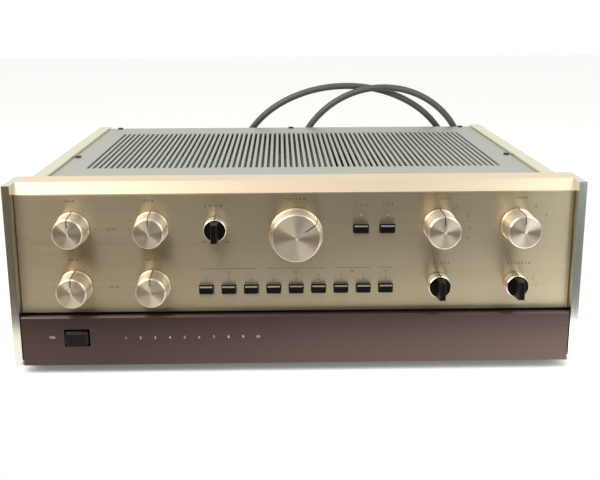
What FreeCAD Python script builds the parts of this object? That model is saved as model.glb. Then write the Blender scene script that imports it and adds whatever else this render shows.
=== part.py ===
import FreeCAD, Part
import math
import os
import Sketcher
from FreeCAD import Placement, Rotation, Vector

# A full-width stereo preamplifier, standing on its feet.
# Millimetres. +X is to the right as seen from the front, the front faces -Y and +Z is up.
# The origin is on the table, under the middle of the object's box (the mains lead left out).

# Driving dimensions
SIZES = {
    # Front frame: the cheeks stand proud of the front panel and the top rail slants back
    "front_width": 445.0,
    "cheek_thickness": 6.5,
    "cheek_proud": 8.2,
    "cheek_bevel": 0.6,
    "frame_depth": 33.0,
    "front_clearance": 8.0,
    "panel_height": 95.2,
    "panel_thickness": 5.0,
    "panel_side_gap": 0.1,
    "panel_bevel": 0.8,
    "rail_rise": 8.2,
    "rail_wall": 3.0,
    "rail_lip": 4.5,
    "rail_hook": 12.0,
    "sheet": 2.0,
    "seat_gap": 0.2,
    # Chassis
    "body_inset": 14.0,
    "body_depth": 330.0,
    "side_thickness": 3.0,
    "rail_width": 11.0,
    "cover_drop": 2.0,
    "cover_thickness": 1.5,
    "cover_gap": 0.4,
    "ledge_width": 10.0,
    "base_thickness": 1.5,
    "flange_width": 12.0,
    # Cover slots
    "slot_margin": 22.0,
    "slot_pitch": 4.9,
    "slot_width": 2.4,
    "slot_length": 208.0,
    "slot_setback": 78.0,
    # Feet
    "foot_height": 9.0,
    "foot_radius": 20.0,
    "foot_taper": 2.0,
    "foot_inset": 48.5,
    "foot_front_inset": 62.0,
    "foot_rear_inset": 48.0,
    "foot_recess_radius": 5.0,
    "foot_recess_depth": 5.0,
    # Rows of the controls above the panel's lower edge, and columns in from the ends of the front
    "outer_inset": 50.5,
    "tone_spacing": 60.5,
    "low_row": 21.8,
    "high_row": 68.4,
    "volume_row": 62.4,
    "pointer_column": 62.0,
    "button_count": 9,
    "button_row": 18.4,
    "button_pitch": 17.6,
    "upper_button_count": 2,
    "upper_button_row": 66.3,
    "upper_button_spacing": 40.6,
    "upper_button_pitch": 20.4,
    "lamp_row": 77.4,
    # Turned knobs and how far in front of the panel each kind ends
    "volume_reach": 15.2,
    "tone_reach": 21.0,
    "selector_reach": 26.0,
    "knob_gap": 0.7,
    "knob_skirt": 2.4,
    "knob_step": 0.5,
    "knob_bevel": 1.0,
    "knob_dome": 0.4,
    "knob_cap": 4.0,
    "knob_base_radius": 13.2,
    "tone_face_radius": 11.7,
    "selector_face_radius": 12.7,
    "volume_base_radius": 20.8,
    "volume_face_radius": 18.8,
    "volume_angle": 55.0,
    "line_width": 0.8,
    "line_depth": 0.4,
    "line_start": 0.45,
    "shaft_radius": 3.0,
    "shaft_clearance": 0.05,
    "shaft_depth": 15.0,
    "bore_end_gap": 1.0,
    # Pointer knobs: a bright sleeve round a black hub, whose disc carries a tapered handle
    "drum_radius": 8.8,
    "drum_length": 11.3,
    "drum_bevel": 0.6,
    "hub_radius": 6.4,
    "hub_fit": 0.1,
    "disc_radius": 8.1,
    "disc_thickness": 0.8,
    "handle_width": 4.5,
    "handle_bottom": 6.8,
    "handle_top": 7.4,
    "handle_root_width": 6.4,
    "handle_bevel": 0.5,
    # Rotary controls behind the panel
    "control_radius": 11.0,
    "control_length": 22.0,
    "volume_control_radius": 17.0,
    "bushing_radius": 3.9,
    "bushing_proud": 1.0,
    "bushing_fit": 0.1,
    "nut_radius": 5.5,
    "nut_thickness": 2.5,
    "nut_hole_radius": 6.4,
    # Push buttons
    "button_width": 11.0,
    "upper_button_width": 11.6,
    "button_height": 6.2,
    "button_fit": 0.4,
    "button_reach": 4.0,
    "button_inside": 3.0,
    "button_bevel": 0.9,
    "button_corner": 1.1,
    "button_travel": 3.0,
    "plunger_side": 4.0,
    "plunger_fit": 0.15,
    "plunger_length": 20.0,
    "switch_width": 14.0,
    "switch_height": 11.0,
    "switch_length": 30.0,
    # Power button
    "power_width": 18.0,
    "power_height": 12.0,
    "power_fit": 1.0,
    "power_row": 22.6,
    "power_reach": 4.0,
    "power_inside": 11.0,
    "power_bevel": 2.0,
    "power_corner": 2.4,
    "power_travel": 4.0,
    "power_plunger_side": 7.0,
    "power_plunger_length": 20.0,
    "power_switch_width": 20.0,
    "power_switch_height": 22.0,
    "power_switch_length": 30.0,
    # Indicator lamps
    "lamp_radius": 1.0,
    "lamp_fit": 0.1,
    "lamp_reach": 0.6,
    "lamp_base_radius": 2.2,
    "lamp_base_length": 5.0,
    # Door and the recess behind it
    "door_height": 40.0,
    "door_thickness": 4.5,
    "door_side_gap": 1.0,
    "door_top_gap": 0.6,
    "door_bevel": 1.2,
    "hinge_height": 3.2,
    "hinge_radius": 1.5,
    "hinge_clearance": 0.05,
    "hinge_reach": 8.0,
    "hinge_seat": 4.0,
    "tray_depth": 16.0,
    "tray_sheet": 1.5,
    "tray_lip": 1.0,
    "tray_ceiling_inset": 0.5,
    "tray_ceiling_drop": 2.1,
    "magnet_width": 16.0,
    "magnet_height": 7.0,
    "magnet_length": 12.0,
    "magnet_gap": 0.4,
    "level_spacing": 30.0,
    "level_column": 60.0,
    "level_row": 19.0,
    "level_knob_radius": 7.0,
    "level_face_radius": 6.4,
    "level_knob_length": 11.0,
    "level_control_radius": 8.5,
    "phones_inset": 92.5,
    "phones_bore_radius": 3.2,
    "phones_bore_length": 32.0,
    "phones_bushing_radius": 4.7,
    "phones_nut_radius": 7.0,
    "phones_body_radius": 8.5,
    "phones_end_wall": 1.5,
    # Screws
    "screw_radius": 1.5,
    "screw_clearance": 0.15,
    "screw_head_radius": 2.7,
    "screw_head_height": 1.4,
    "screw_slot": 0.6,
    "screw_length": 6.0,
    "cover_screw_inset": 5.0,
    "cover_screw_corner": 3.5,
    "cover_screw_side": 4.0,
    "cover_screw_setback": 136.0,
    "base_screw_count": 3,
    "base_screw_setback": 60.0,
    "base_screw_end": 30.0,
    # Rear panel and what it carries
    "rear_flange": 14.0,
    "jack_columns": 10,
    "jack_rows": 2,
    "jack_pitch": 19.0,
    "jack_inset": 17.5,
    "jack_row_low": 60.0,
    "jack_row_pitch": 24.0,
    "jack_reach": 10.0,
    "jack_radius": 4.15,
    "jack_wall": 0.65,
    "jack_flange_radius": 6.2,
    "jack_flange_thickness": 1.5,
    "jack_fit": 0.45,
    "jack_inside": 8.0,
    "jack_core_recess": 2.5,
    "jack_core_clearance": 0.05,
    "jack_pin_radius": 1.6,
    "outlet_count": 3,
    "outlet_inset": 69.5,
    "outlet_pitch": 38.0,
    "outlet_row": 112.0,
    "outlet_width": 25.0,
    "outlet_height": 17.0,
    "outlet_depth": 20.0,
    "outlet_flange": 3.5,
    "outlet_reach": 3.0,
    "outlet_slot_width": 2.0,
    "outlet_slot_height": 7.6,
    "outlet_slot_depth": 16.0,
    "panel_fit": 0.2,
    "fuse_inset": 105.5,
    "fuse_row": 62.0,
    "fuse_radius": 6.5,
    "fuse_cap_radius": 7.6,
    "fuse_reach": 9.0,
    "fuse_length": 28.0,
    "ground_spacing": 29.0,
    "ground_row": 60.0,
    "ground_radius": 2.0,
    "ground_reach": 9.5,
    "ground_nut_radius": 5.0,
    "ground_nut_length": 6.5,
    "ground_inside": 8.0,
    # Mains lead
    "cord_diameter": 7.0,
    "cord_inset": 15.5,
    "cord_row": 36.0,
    "relief_length": 22.0,
    "relief_tip_radius": 4.6,
    "relief_root_radius": 6.4,
    "relief_flange_radius": 9.0,
    "relief_flange_thickness": 2.0,
    "relief_inside": 8.0,
    "plug_length": 30.0,
    "plug_width": 24.0,
    "plug_height": 15.0,
    "plug_bevel": 2.0,
    "plug_neck": 12.0,
    "plug_neck_radius": 5.0,
    "blade_length": 17.0,
    "blade_height": 6.3,
    "blade_thickness": 1.5,
    "blade_spread": 12.7,
    # Inside
    "boss_radius": 4.0,
    "boss_height": 12.0,
    "board_side_gap": 15.5,
    "board_middle_gap": 38.0,
    "board_setback": 62.0,
    "board_depth": 190.0,
    "board_thickness": 1.6,
    "board_inset": 8.0,
    "part_inset": 30.0,
    "can_count": 8,
    "can_radius": 5.0,
    "can_height": 14.0,
    "can_row": 30.0,
    "relay_count": 5,
    "relay_width": 20.0,
    "relay_depth": 15.0,
    "relay_height": 14.0,
    "relay_row": 80.0,
    "chip_count": 7,
    "chip_width": 8.0,
    "chip_depth": 20.0,
    "chip_height": 4.0,
    "chip_row": 130.0,
    "transformer_inset": 65.5,
    "transformer_setback": 190.0,
    "transformer_width": 84.0,
    "transformer_depth": 36.0,
    "transformer_height": 70.0,
    "transformer_leg": 14.0,
    "coil_swell": 12.0,
    "capacitor_count": 4,
    "capacitor_radius": 12.5,
    "capacitor_height": 52.0,
    "capacitor_pitch": 28.0,
    "capacitor_inset": 25.5,
    "capacitor_setback": 100.0,
}

doc = FreeCAD.newDocument("preamplifier")
sheet = doc.addObject("Spreadsheet::Sheet", "Sizes")
for row, (alias, number) in enumerate(SIZES.items(), start=1):
    sheet.set("A%d" % row, alias)
    sheet.set("B%d" % row, str(number))
    sheet.setAlias("B%d" % row, alias)
doc.recompute()


class Size:
    """A length with its formula over the sheet and its present value."""

    def __init__(self, text, value):
        self.text = text
        self.value = value

    def __add__(self, other):
        return joined(self, "+", other, self.value + number_of(other))

    def __radd__(self, other):
        return joined(other, "+", self, number_of(other) + self.value)

    def __sub__(self, other):
        return joined(self, "-", other, self.value - number_of(other))

    def __rsub__(self, other):
        return joined(other, "-", self, number_of(other) - self.value)

    def __mul__(self, other):
        return joined(self, "*", other, self.value * number_of(other))

    def __rmul__(self, other):
        return joined(other, "*", self, number_of(other) * self.value)

    def __truediv__(self, other):
        return joined(self, "/", other, self.value / number_of(other))

    def __neg__(self):
        return joined(0, "-", self, -self.value)


def number_of(length):
    return length.value if isinstance(length, Size) else float(length)


def whole(length):
    """The whole number below a ratio of sizes."""
    return Size("floor(%s)" % length.text, math.floor(length.value))


def text_of(length):
    return length.text if isinstance(length, Size) else "%.9g" % length


def joined(left, mark, right, value):
    return Size("(%s %s %s)" % (text_of(left), mark, text_of(right)), value)


class SheetSizes:
    """Each alias of the sheet as an attribute."""


size = SheetSizes()
for alias in SIZES:
    setattr(size, alias, Size("Sizes." + alias, float(getattr(sheet, alias))))

# Planes and edges that many pieces share
panel_y = size.selector_reach - (size.selector_reach + size.body_depth + size.jack_reach) / 2
selector_front = panel_y - size.selector_reach
panel_back = panel_y + size.panel_thickness
chassis_back = panel_back + size.sheet
frame_back = panel_y + size.frame_depth
rear_y = panel_y + size.body_depth
cheek_front = panel_y - size.cheek_proud
front_half = size.front_width / 2
cheek_inside = front_half - size.cheek_thickness
door_top = size.front_clearance + size.door_height
panel_bottom = door_top + size.door_top_gap
panel_top = panel_bottom + size.panel_height
top_z = panel_top + size.rail_rise
rail_foot = top_z - size.rail_hook
base_top = size.foot_height + size.base_thickness
side_outside = front_half - size.body_inset
side_inside = side_outside - size.side_thickness
rail_inside = side_outside - size.rail_width
cover_top = top_z - size.cover_drop
cover_bottom = cover_top - size.cover_thickness
cover_half = rail_inside - size.cover_gap
ledge_bottom = cover_bottom - size.sheet
ledge_inside = rail_inside + size.sheet - size.ledge_width
door_back = cheek_front + size.door_thickness
hinge_y = cheek_front + size.door_thickness / 2
hinge_z = size.front_clearance + size.hinge_height
tray_top = panel_bottom - size.tray_ceiling_drop
tray_ceiling = tray_top - size.tray_sheet
tray_floor = size.foot_height + size.tray_sheet
tray_face = panel_y + size.tray_depth
tray_back = tray_face + size.tray_sheet
power_z = size.front_clearance + size.power_row
level_z = size.front_clearance + size.level_row
bore_radius = size.shaft_radius + size.shaft_clearance
screw_hole = size.screw_radius + size.screw_clearance

# Columns of the controls and fittings, from the middle
outer_column = front_half - size.outer_inset
inner_column = outer_column - size.tone_spacing
phones_x = front_half - size.phones_inset
jack_start = side_inside - size.jack_inset
jack_end = (SIZES["jack_columns"] - 1) * size.jack_pitch - jack_start
ground_x = jack_end + size.ground_spacing
fuse_x = side_inside - size.fuse_inset
cord_x = side_inside - size.cord_inset
transformer_x = side_inside - size.transformer_inset

nodes = []


def node(item, label):
    """Name a sub-part and put it on the list of those that are written."""
    item.Label = label
    nodes.append(item)
    return item


def bind(item, path, value):
    item.setExpression(path, text_of(value))


def place(item, x=0, y=0, z=0):
    for axis, value in (("x", x), ("y", y), ("z", z)):
        bind(item, "Placement.Base." + axis, value)
    return item


# Primitives and booleans
ALONG = {
    "X": Rotation(Vector(0, 1, 0), 90),
    "Y": Rotation(Vector(1, 0, 0), -90),
    "Z": Rotation(),
}


def box(name, low, high):
    item = doc.addObject("Part::Box", name)
    for side, start, end in zip(("Length", "Width", "Height"), low, high):
        bind(item, side, end - start)
    return place(item, *low)


def block(name, centre_x, centre_z, width, height, front, back):
    """A box given by the middle of its front face and its size."""
    low = (centre_x - width / 2, front, centre_z - height / 2)
    high = (centre_x + width / 2, back, centre_z + height / 2)
    return box(name, low, high)


def cylinder(name, axis, radius, start, length):
    """A cylinder from the point start, along the positive axis."""
    item = doc.addObject("Part::Cylinder", name)
    item.Placement = Placement(Vector(), ALONG[axis])
    bind(item, "Radius", radius)
    bind(item, "Height", length)
    return place(item, *start)


def cone(name, axis, radius, far_radius, start, length):
    item = doc.addObject("Part::Cone", name)
    item.Placement = Placement(Vector(), ALONG[axis])
    bind(item, "Radius1", radius)
    bind(item, "Radius2", far_radius)
    bind(item, "Height", length)
    return place(item, *start)


def hexagon(name, radius, start, length):
    """A six-sided bar along +Y."""
    item = doc.addObject("Part::Prism", name)
    item.Polygon = 6
    item.Placement = Placement(Vector(), ALONG["Y"])
    bind(item, "Circumradius", radius)
    bind(item, "Height", length)
    return place(item, *start)


def fuse(name, *parts):
    item = doc.addObject("Part::MultiFuse", name)
    item.Shapes = list(parts)
    return item


def cut(name, base, *tools):
    item = doc.addObject("Part::Cut", name)
    item.Base = base
    item.Tool = tools[0] if len(tools) == 1 else fuse(name + "_tools", *tools)
    return item


def group(name, parts):
    """Pieces that share one node, each a solid of its own."""
    item = doc.addObject("Part::Compound", name)
    item.Links = list(parts)
    return item


# Sketched bodies
def body(name):
    return doc.addObject("PartDesign::Body", name)


def origin_feature(owner, role):
    return next(item for item in owner.Origin.OriginFeatures if item.Role == role)


def sketch(owner, plane, offset=0):
    """A sketch on one of the body's own origin planes, moved along that plane's normal.

    On XZ_Plane the sketch's own axes are X and Z, and its normal is -Y.
    """
    item = owner.newObject("Sketcher::SketchObject", owner.Name + "_sketch")
    item.AttachmentSupport = [(origin_feature(owner, plane), "")]
    item.MapMode = "FlatFace"
    bind(item, "AttachmentOffset.Base.z", offset)
    return item


def pin_point(item, geometry, point, across, up):
    """Hold one point of the sketch at its two distances from the sketch's origin."""
    for kind, value in (("DistanceX", across), ("DistanceY", up)):
        rule = Sketcher.Constraint(kind, -1, 1, geometry, point, number_of(value))
        index = item.addConstraint(rule)
        bind(item, "Constraints[%d]" % index, value)


def outline(item, corners):
    """A closed outline of straight edges through the corners."""
    first = item.GeometryCount
    count = len(corners)
    flat = [Vector(number_of(across), number_of(up), 0) for across, up in corners]
    for index in range(count):
        item.addGeometry(Part.LineSegment(flat[index], flat[(index + 1) % count]), False)
    for index in range(count):
        after = first + (index + 1) % count
        item.addConstraint(Sketcher.Constraint("Coincident", first + index, 2, after, 1))
    for index, (across, up) in enumerate(corners):
        pin_point(item, first + index, 1, across, up)


def rectangle(item, centre_x, centre_y, width, height):
    left, right = centre_x - width / 2, centre_x + width / 2
    low, high = centre_y - height / 2, centre_y + height / 2
    outline(item, [(left, low), (right, low), (right, high), (left, high)])


def circle(item, centre_x, centre_y, radius):
    middle = Vector(number_of(centre_x), number_of(centre_y), 0)
    index = item.addGeometry(Part.Circle(middle, Vector(0, 0, 1), number_of(radius)), False)
    rule = item.addConstraint(Sketcher.Constraint("Radius", index, number_of(radius)))
    bind(item, "Constraints[%d]" % rule, radius)
    pin_point(item, index, 3, centre_x, centre_y)


def pad(owner, profile, length, backward=False):
    """Raise the profile along its normal, or against it where backward is set."""
    item = owner.newObject("PartDesign::Pad", owner.Name + "_pad")
    item.Profile = profile
    item.Reversed = backward
    bind(item, "Length", length)
    owner.Tip = item
    return item


def cut_depth(owner, profile, depth, forward=False):
    """Cut the profile to a depth, against its normal, or along it where forward is set."""
    item = owner.newObject("PartDesign::Pocket", owner.Name + "_pocket")
    item.Profile = profile
    item.Reversed = forward
    bind(item, "Length", depth)
    owner.Tip = item
    return item


def turn(owner, profile, axis):
    item = owner.newObject("PartDesign::Revolution", owner.Name + "_turned")
    item.Profile = profile
    item.ReferenceAxis = (origin_feature(owner, axis), [""])
    item.Angle = 360
    owner.Tip = item
    return item


def wedge(owner, near, far):
    """A block that tapers between two upright rectangles.

    Each rectangle is given as its Y, its left and right side, and its bottom and top.
    """
    item = owner.newObject("PartDesign::AdditiveWedge", owner.Name + "_wedge")
    sides = ("Ymin", "Xmin", "Xmax", "Zmin", "Zmax"), ("Ymax", "X2min", "X2max", "Z2min", "Z2max")
    for names, values in zip(sides, (near, far)):
        for side, value in zip(names, values):
            bind(item, side, value)
    owner.Tip = item
    return item


def bevel(owner, amount, chosen, rounded=False):
    """Chamfer, or round, the edges of the body's last feature whose box the test accepts."""
    doc.recompute()
    base = owner.Tip
    names = []
    for index, edge in enumerate(base.Shape.Edges, start=1):
        if chosen(edge.BoundBox):
            names.append("Edge%d" % index)
    kind, side = ("Fillet", "Radius") if rounded else ("Chamfer", "Size")
    item = owner.newObject("PartDesign::" + kind, owner.Name + "_bevel")
    item.Base = (base, names)
    bind(item, side, amount)
    owner.Tip = item
    return item


def in_plane(value, axis):
    """A test for edges that lie wholly at one value of X, Y or Z."""
    target = number_of(value)

    def accept(limits):
        low = getattr(limits, axis + "Min")
        high = getattr(limits, axis + "Max")
        return abs(low - target) < 1e-4 and abs(high - target) < 1e-4

    return accept


def along_depth(limits):
    """A test for edges that run along Y."""
    return limits.XLength < 1e-4 and limits.ZLength < 1e-4


def extrusion(name, plane, corners, start, length):
    """A body with one straight-edged outline, from start along +X, +Y or +Z."""
    owner = body(name)
    along_y = plane == "XZ_Plane"
    profile = sketch(owner, plane, -start if along_y else start)
    outline(profile, corners)
    pad(owner, profile, length, backward=along_y)
    return owner


def mirrored(corners):
    """The same outline on the other side of the middle plane."""
    return [(-across, up) for across, up in corners]


# Where each control is: its column and its height above the table
high_z = panel_bottom + size.high_row
low_z = panel_bottom + size.low_row
volume_place = (0.0, panel_bottom + size.volume_row)
tone_knobs = {
    "treble_left_knob": (-outer_column, high_z),
    "treble_right_knob": (-inner_column, high_z),
    "bass_left_knob": (-outer_column, low_z),
    "bass_right_knob": (-inner_column, low_z),
}
selector_knobs = {
    "mode_knob": (inner_column, high_z),
    "input_knob": (outer_column, high_z),
}
pointer_knobs = {
    "filter": (-size.pointer_column, high_z),
    "monitor": (inner_column, low_z),
    "loudness": (outer_column, low_z),
}
rotary_places = [volume_place]
for knobs in (tone_knobs, selector_knobs, pointer_knobs):
    rotary_places += list(knobs.values())
level_places = {
    "level_knob_left": (-size.level_column - size.level_spacing / 2, level_z),
    "level_knob_right": (-size.level_column + size.level_spacing / 2, level_z),
}

# Each push button: its column, its height above the table and its width
buttons = {}
button_z = panel_bottom + size.button_row
upper_button_z = panel_bottom + size.upper_button_row
for index in range(SIZES["button_count"]):
    column = (index - (SIZES["button_count"] - 1) / 2) * size.button_pitch
    buttons["push_button_%d" % (index + 1)] = (column, button_z, size.button_width)
lamp_places = []
last_upper = inner_column - size.upper_button_spacing
for index in range(SIZES["upper_button_count"]):
    column = last_upper - (SIZES["upper_button_count"] - 1 - index) * size.upper_button_pitch
    buttons["upper_button_%d" % (index + 1)] = (column, upper_button_z, size.upper_button_width)
    lamp_places.append((column, panel_bottom + size.lamp_row))


# Front panel: a thick plate with a hole for each control
def make_front_panel():
    half = cheek_inside - size.panel_side_gap
    corners = [(-half, panel_bottom), (half, panel_bottom), (half, panel_top), (-half, panel_top)]
    owner = extrusion("panel_body", "XZ_Plane", corners, panel_y, size.panel_thickness)
    bevel(owner, size.panel_bevel, in_plane(panel_y, "Y"))
    holes = sketch(owner, "XZ_Plane", -panel_y)
    for across, up in rotary_places:
        circle(holes, across, up, size.nut_hole_radius)
    for across, up, width in buttons.values():
        rectangle(holes, across, up, width + 2 * size.button_fit, size.button_height + 2 * size.button_fit)
    for across, up in lamp_places:
        circle(holes, across, up, size.lamp_radius + size.lamp_fit)
    cut_depth(owner, holes, size.panel_thickness)
    node(owner, "front_panel")


# Top rail: a slanted trim over the panel's upper edge, with a hook behind and a ledge for the cover
def make_top_rail():
    inner_top = top_z - size.rail_wall
    lip_back = panel_y + size.rail_lip
    hook_front = frame_back - size.rail_wall
    corners = [
        (panel_y, panel_top),
        (panel_y + size.rail_rise, top_z),
        (frame_back, top_z),
        (frame_back, rail_foot),
        (hook_front, rail_foot),
        (hook_front, inner_top),
        (lip_back + inner_top - panel_top, inner_top),
        (lip_back, panel_top),
    ]
    owner = extrusion("rail_body", "YZ_Plane", corners, -cheek_inside, 2 * cheek_inside)
    ledge_half = ledge_inside - size.seat_gap
    ledge = sketch(owner, "YZ_Plane", -ledge_half)
    outline(ledge, [
        (frame_back, ledge_bottom),
        (frame_back + size.ledge_width, ledge_bottom),
        (frame_back + size.ledge_width, cover_bottom),
        (frame_back, cover_bottom),
    ])
    pad(owner, ledge, 2 * ledge_half)
    node(owner, "top_rail")


# Cheeks: flat plates at both ends of the front frame, bored for the door's pins
def make_cheek(label, start, inner_face, outer_face, outward):
    corners = [
        (cheek_front, size.front_clearance),
        (frame_back, size.front_clearance),
        (frame_back, top_z),
        (cheek_front, top_z),
    ]
    owner = extrusion(label + "_body", "YZ_Plane", corners, start, size.cheek_thickness)
    bevel(owner, size.cheek_bevel, in_plane(outer_face, "X"))
    seat = sketch(owner, "YZ_Plane", inner_face)
    circle(seat, hinge_y, hinge_z, size.hinge_radius)
    cut_depth(owner, seat, size.hinge_seat + size.seat_gap, forward=outward)
    node(owner, label)


# Front chassis: a folded plate behind the panel that carries the controls
def make_front_chassis():
    half = cheek_inside
    wall = half - size.sheet
    lip = side_inside - size.sheet
    lip_front = frame_back - size.sheet
    corners = [
        (-half, panel_back),
        (half, panel_back),
        (half, frame_back),
        (lip, frame_back),
        (lip, lip_front),
        (wall, lip_front),
        (wall, chassis_back),
        (-wall, chassis_back),
        (-wall, lip_front),
        (-lip, lip_front),
        (-lip, frame_back),
        (-half, frame_back),
    ]
    owner = extrusion("chassis_body", "XY_Plane", corners, tray_top, rail_foot - size.seat_gap - tray_top)
    holes = sketch(owner, "XZ_Plane", -panel_back)
    for across, up in rotary_places:
        circle(holes, across, up, size.bushing_radius + size.bushing_fit)
    for across, up, width in buttons.values():
        rectangle(holes, across, up, width + 2 * size.button_fit, size.button_height + 2 * size.button_fit)
    for across, up in lamp_places:
        circle(holes, across, up, size.lamp_radius + size.lamp_fit)
    cut_depth(owner, holes, size.sheet)
    node(owner, "front_chassis")


# Sub-panel tray: the recess behind the door, with its own small controls
def make_tray():
    ceiling_front = panel_y + size.tray_ceiling_inset
    floor_front = panel_y - size.tray_lip
    corners = [
        (floor_front, size.foot_height),
        (frame_back, size.foot_height),
        (frame_back, tray_floor),
        (tray_back, tray_floor),
        (tray_back, tray_top),
        (ceiling_front, tray_top),
        (ceiling_front, tray_ceiling),
        (tray_face, tray_ceiling),
        (tray_face, tray_floor),
        (floor_front, tray_floor),
    ]
    owner = extrusion("tray_body", "YZ_Plane", corners, -cheek_inside, 2 * cheek_inside)
    holes = sketch(owner, "XZ_Plane", -tray_face)
    for across, up in level_places.values():
        circle(holes, across, up, size.bushing_radius + size.bushing_fit)
    circle(holes, phones_x, level_z, size.phones_bushing_radius + size.bushing_fit)
    power_hole = size.power_plunger_side + 2 * size.power_fit
    rectangle(holes, -outer_column, power_z, power_hole, power_hole)
    cut_depth(owner, holes, size.tray_sheet)
    node(owner, "sub_panel_tray")


# Door: the dark lower panel, hinged at its bottom edge, with a cut-out for the power button
def make_door():
    half = cheek_inside - size.door_side_gap
    corners = [
        (-half, size.front_clearance),
        (half, size.front_clearance),
        (half, door_top),
        (-half, door_top),
    ]
    owner = extrusion("door_body", "XZ_Plane", corners, cheek_front, size.door_thickness)
    top_edges = in_plane(door_top, "Z")
    front_edges = in_plane(cheek_front, "Y")
    bevel(owner, size.door_bevel, lambda limits: top_edges(limits) and front_edges(limits))
    cut_out = sketch(owner, "XZ_Plane", -cheek_front)
    hole_width = size.power_width + 2 * size.power_fit
    hole_height = size.power_height + 2 * size.power_fit
    rectangle(cut_out, -outer_column, power_z, hole_width, hole_height)
    cut_depth(owner, cut_out, size.door_thickness)
    depth = size.hinge_reach - size.door_side_gap + size.seat_gap
    for end, forward in ((-half, True), (half, False)):
        bore = sketch(owner, "YZ_Plane", end)
        circle(bore, hinge_y, hinge_z, size.hinge_radius + size.hinge_clearance)
        cut_depth(owner, bore, depth, forward=forward)
    node(owner, "sub_panel_door")


def make_hinge_pins():
    length = size.hinge_seat + size.hinge_reach
    left_end = -cheek_inside - size.hinge_seat
    right_end = cheek_inside - size.hinge_reach
    left = cylinder("pin", "X", size.hinge_radius, (left_end, hinge_y, hinge_z), length)
    right = cylinder("pin", "X", size.hinge_radius, (right_end, hinge_y, hinge_z), length)
    node(group("pins", [left, right]), "door_hinge_pins")


def make_magnet():
    front = door_back + size.magnet_gap
    middle = tray_ceiling - size.magnet_height / 2
    magnet = block(
        "magnet", 0.0, middle, size.magnet_width, size.magnet_height, front, front + size.magnet_length
    )
    node(magnet, "door_magnet")


# Knobs: each knob and its shaft are two solids of one node, modelled on the Y axis and then placed
def make_shaft(name, knob_face, seat):
    start = knob_face + size.knob_cap + size.seat_gap
    return cylinder(name, "Y", size.shaft_radius, (0, start, 0), seat + size.shaft_depth - start)


def make_turned_knob(label, across, up, base_radius, face_radius, back, front, seat, angle=0):
    """A turned knob: a bevelled base ring, a tapered side, a low dome and an index line."""
    owner = body(label + "_body")
    profile = sketch(owner, "YZ_Plane")
    ring = back - size.knob_skirt
    rim = front + size.knob_dome
    outline(profile, [
        (back, bore_radius),
        (back, base_radius),
        (ring + size.knob_step, base_radius),
        (ring, base_radius - size.knob_step),
        (rim + size.knob_bevel, face_radius),
        (rim, face_radius - size.knob_bevel),
        (front, 0.0),
        (front + size.knob_cap, 0.0),
        (front + size.knob_cap, bore_radius),
    ])
    turn(owner, profile, "Y_Axis")
    half_line = size.line_width / 2
    face_line = sketch(owner, "XZ_Plane", -front)
    inner_end = face_radius * size.line_start
    outline(face_line, [
        (-half_line, inner_end),
        (half_line, inner_end),
        (half_line, face_radius),
        (-half_line, face_radius),
    ])
    cut_depth(owner, face_line, size.knob_dome + size.line_depth)
    side_line = sketch(owner, "XY_Plane", face_radius - size.line_depth)
    outline(side_line, [(-half_line, front), (half_line, front), (half_line, ring), (-half_line, ring)])
    cut_depth(owner, side_line, base_radius, forward=True)
    item = group(label, [owner, make_shaft(label + "_shaft", front, seat)])
    item.Placement = Placement(Vector(), Rotation(Vector(0, 1, 0), number_of(angle)))
    if isinstance(angle, Size):
        bind(item, "Placement.Rotation.Angle", angle)
    node(place(item, across, 0, up), label)


def make_main_knobs():
    back = panel_y - size.knob_gap
    for label, (across, up) in tone_knobs.items():
        make_turned_knob(
            label, across, up, size.knob_base_radius, size.tone_face_radius,
            back, panel_y - size.tone_reach, panel_back,
        )
    for label, (across, up) in selector_knobs.items():
        make_turned_knob(
            label, across, up, size.knob_base_radius, size.selector_face_radius,
            back, selector_front, panel_back,
        )
    across, up = volume_place
    make_turned_knob(
        "volume_knob", across, up, size.volume_base_radius, size.volume_face_radius,
        back, panel_y - size.volume_reach, panel_back, size.volume_angle,
    )


def make_level_knobs():
    back = tray_face - size.nut_thickness - size.bushing_proud - size.knob_gap
    front = back - size.level_knob_length
    for label, (across, up) in level_places.items():
        make_turned_knob(
            label, across, up, size.level_knob_radius, size.level_face_radius, back, front, tray_face
        )


def make_drum(label, across, up, back, front):
    """The bright sleeve of a pointer knob, with an index line along its top."""
    rim = front + size.drum_bevel
    sleeve = cylinder("drum", "Y", size.drum_radius, (0, rim, 0), back - rim)
    slope = cone(
        "slope", "Y", size.drum_radius - size.drum_bevel, size.drum_radius, (0, front, 0), size.drum_bevel
    )
    bore = cylinder("bore", "Y", size.hub_radius + size.hub_fit, (0, front, 0), back - front)
    half_line = size.line_width / 2
    floor = size.drum_radius - size.line_depth
    line = box("line", (-half_line, front, floor), (half_line, back, size.drum_radius))
    node(place(cut(label, fuse("drum_blank", sleeve, slope), bore, line), across, 0, up), label)


def make_pointer(label, across, up, back, disc_back):
    """A black hub with a thin disc in front of its sleeve and a handle across the disc."""
    owner = body(label + "_body")
    disc_front = disc_back - size.disc_thickness
    bore_end = disc_front + size.knob_cap
    profile = sketch(owner, "YZ_Plane")
    outline(profile, [
        (back, bore_radius),
        (back, size.hub_radius),
        (disc_back, size.hub_radius),
        (disc_back, size.disc_radius),
        (disc_front, size.disc_radius),
        (disc_front, 0.0),
        (bore_end, 0.0),
        (bore_end, bore_radius),
    ])
    turn(owner, profile, "Y_Axis")
    half_width = size.handle_width / 2
    half_root = size.handle_root_width / 2
    wedge(
        owner,
        (selector_front, -half_width, half_width, -size.handle_bottom, size.handle_top),
        (disc_front, -half_root, half_root, -size.handle_top, size.handle_top),
    )
    bevel(owner, size.handle_bevel, in_plane(selector_front, "Y"))
    item = group(label, [owner, make_shaft(label + "_shaft", disc_front, panel_back)])
    node(place(item, across, 0, up), label)


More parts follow.
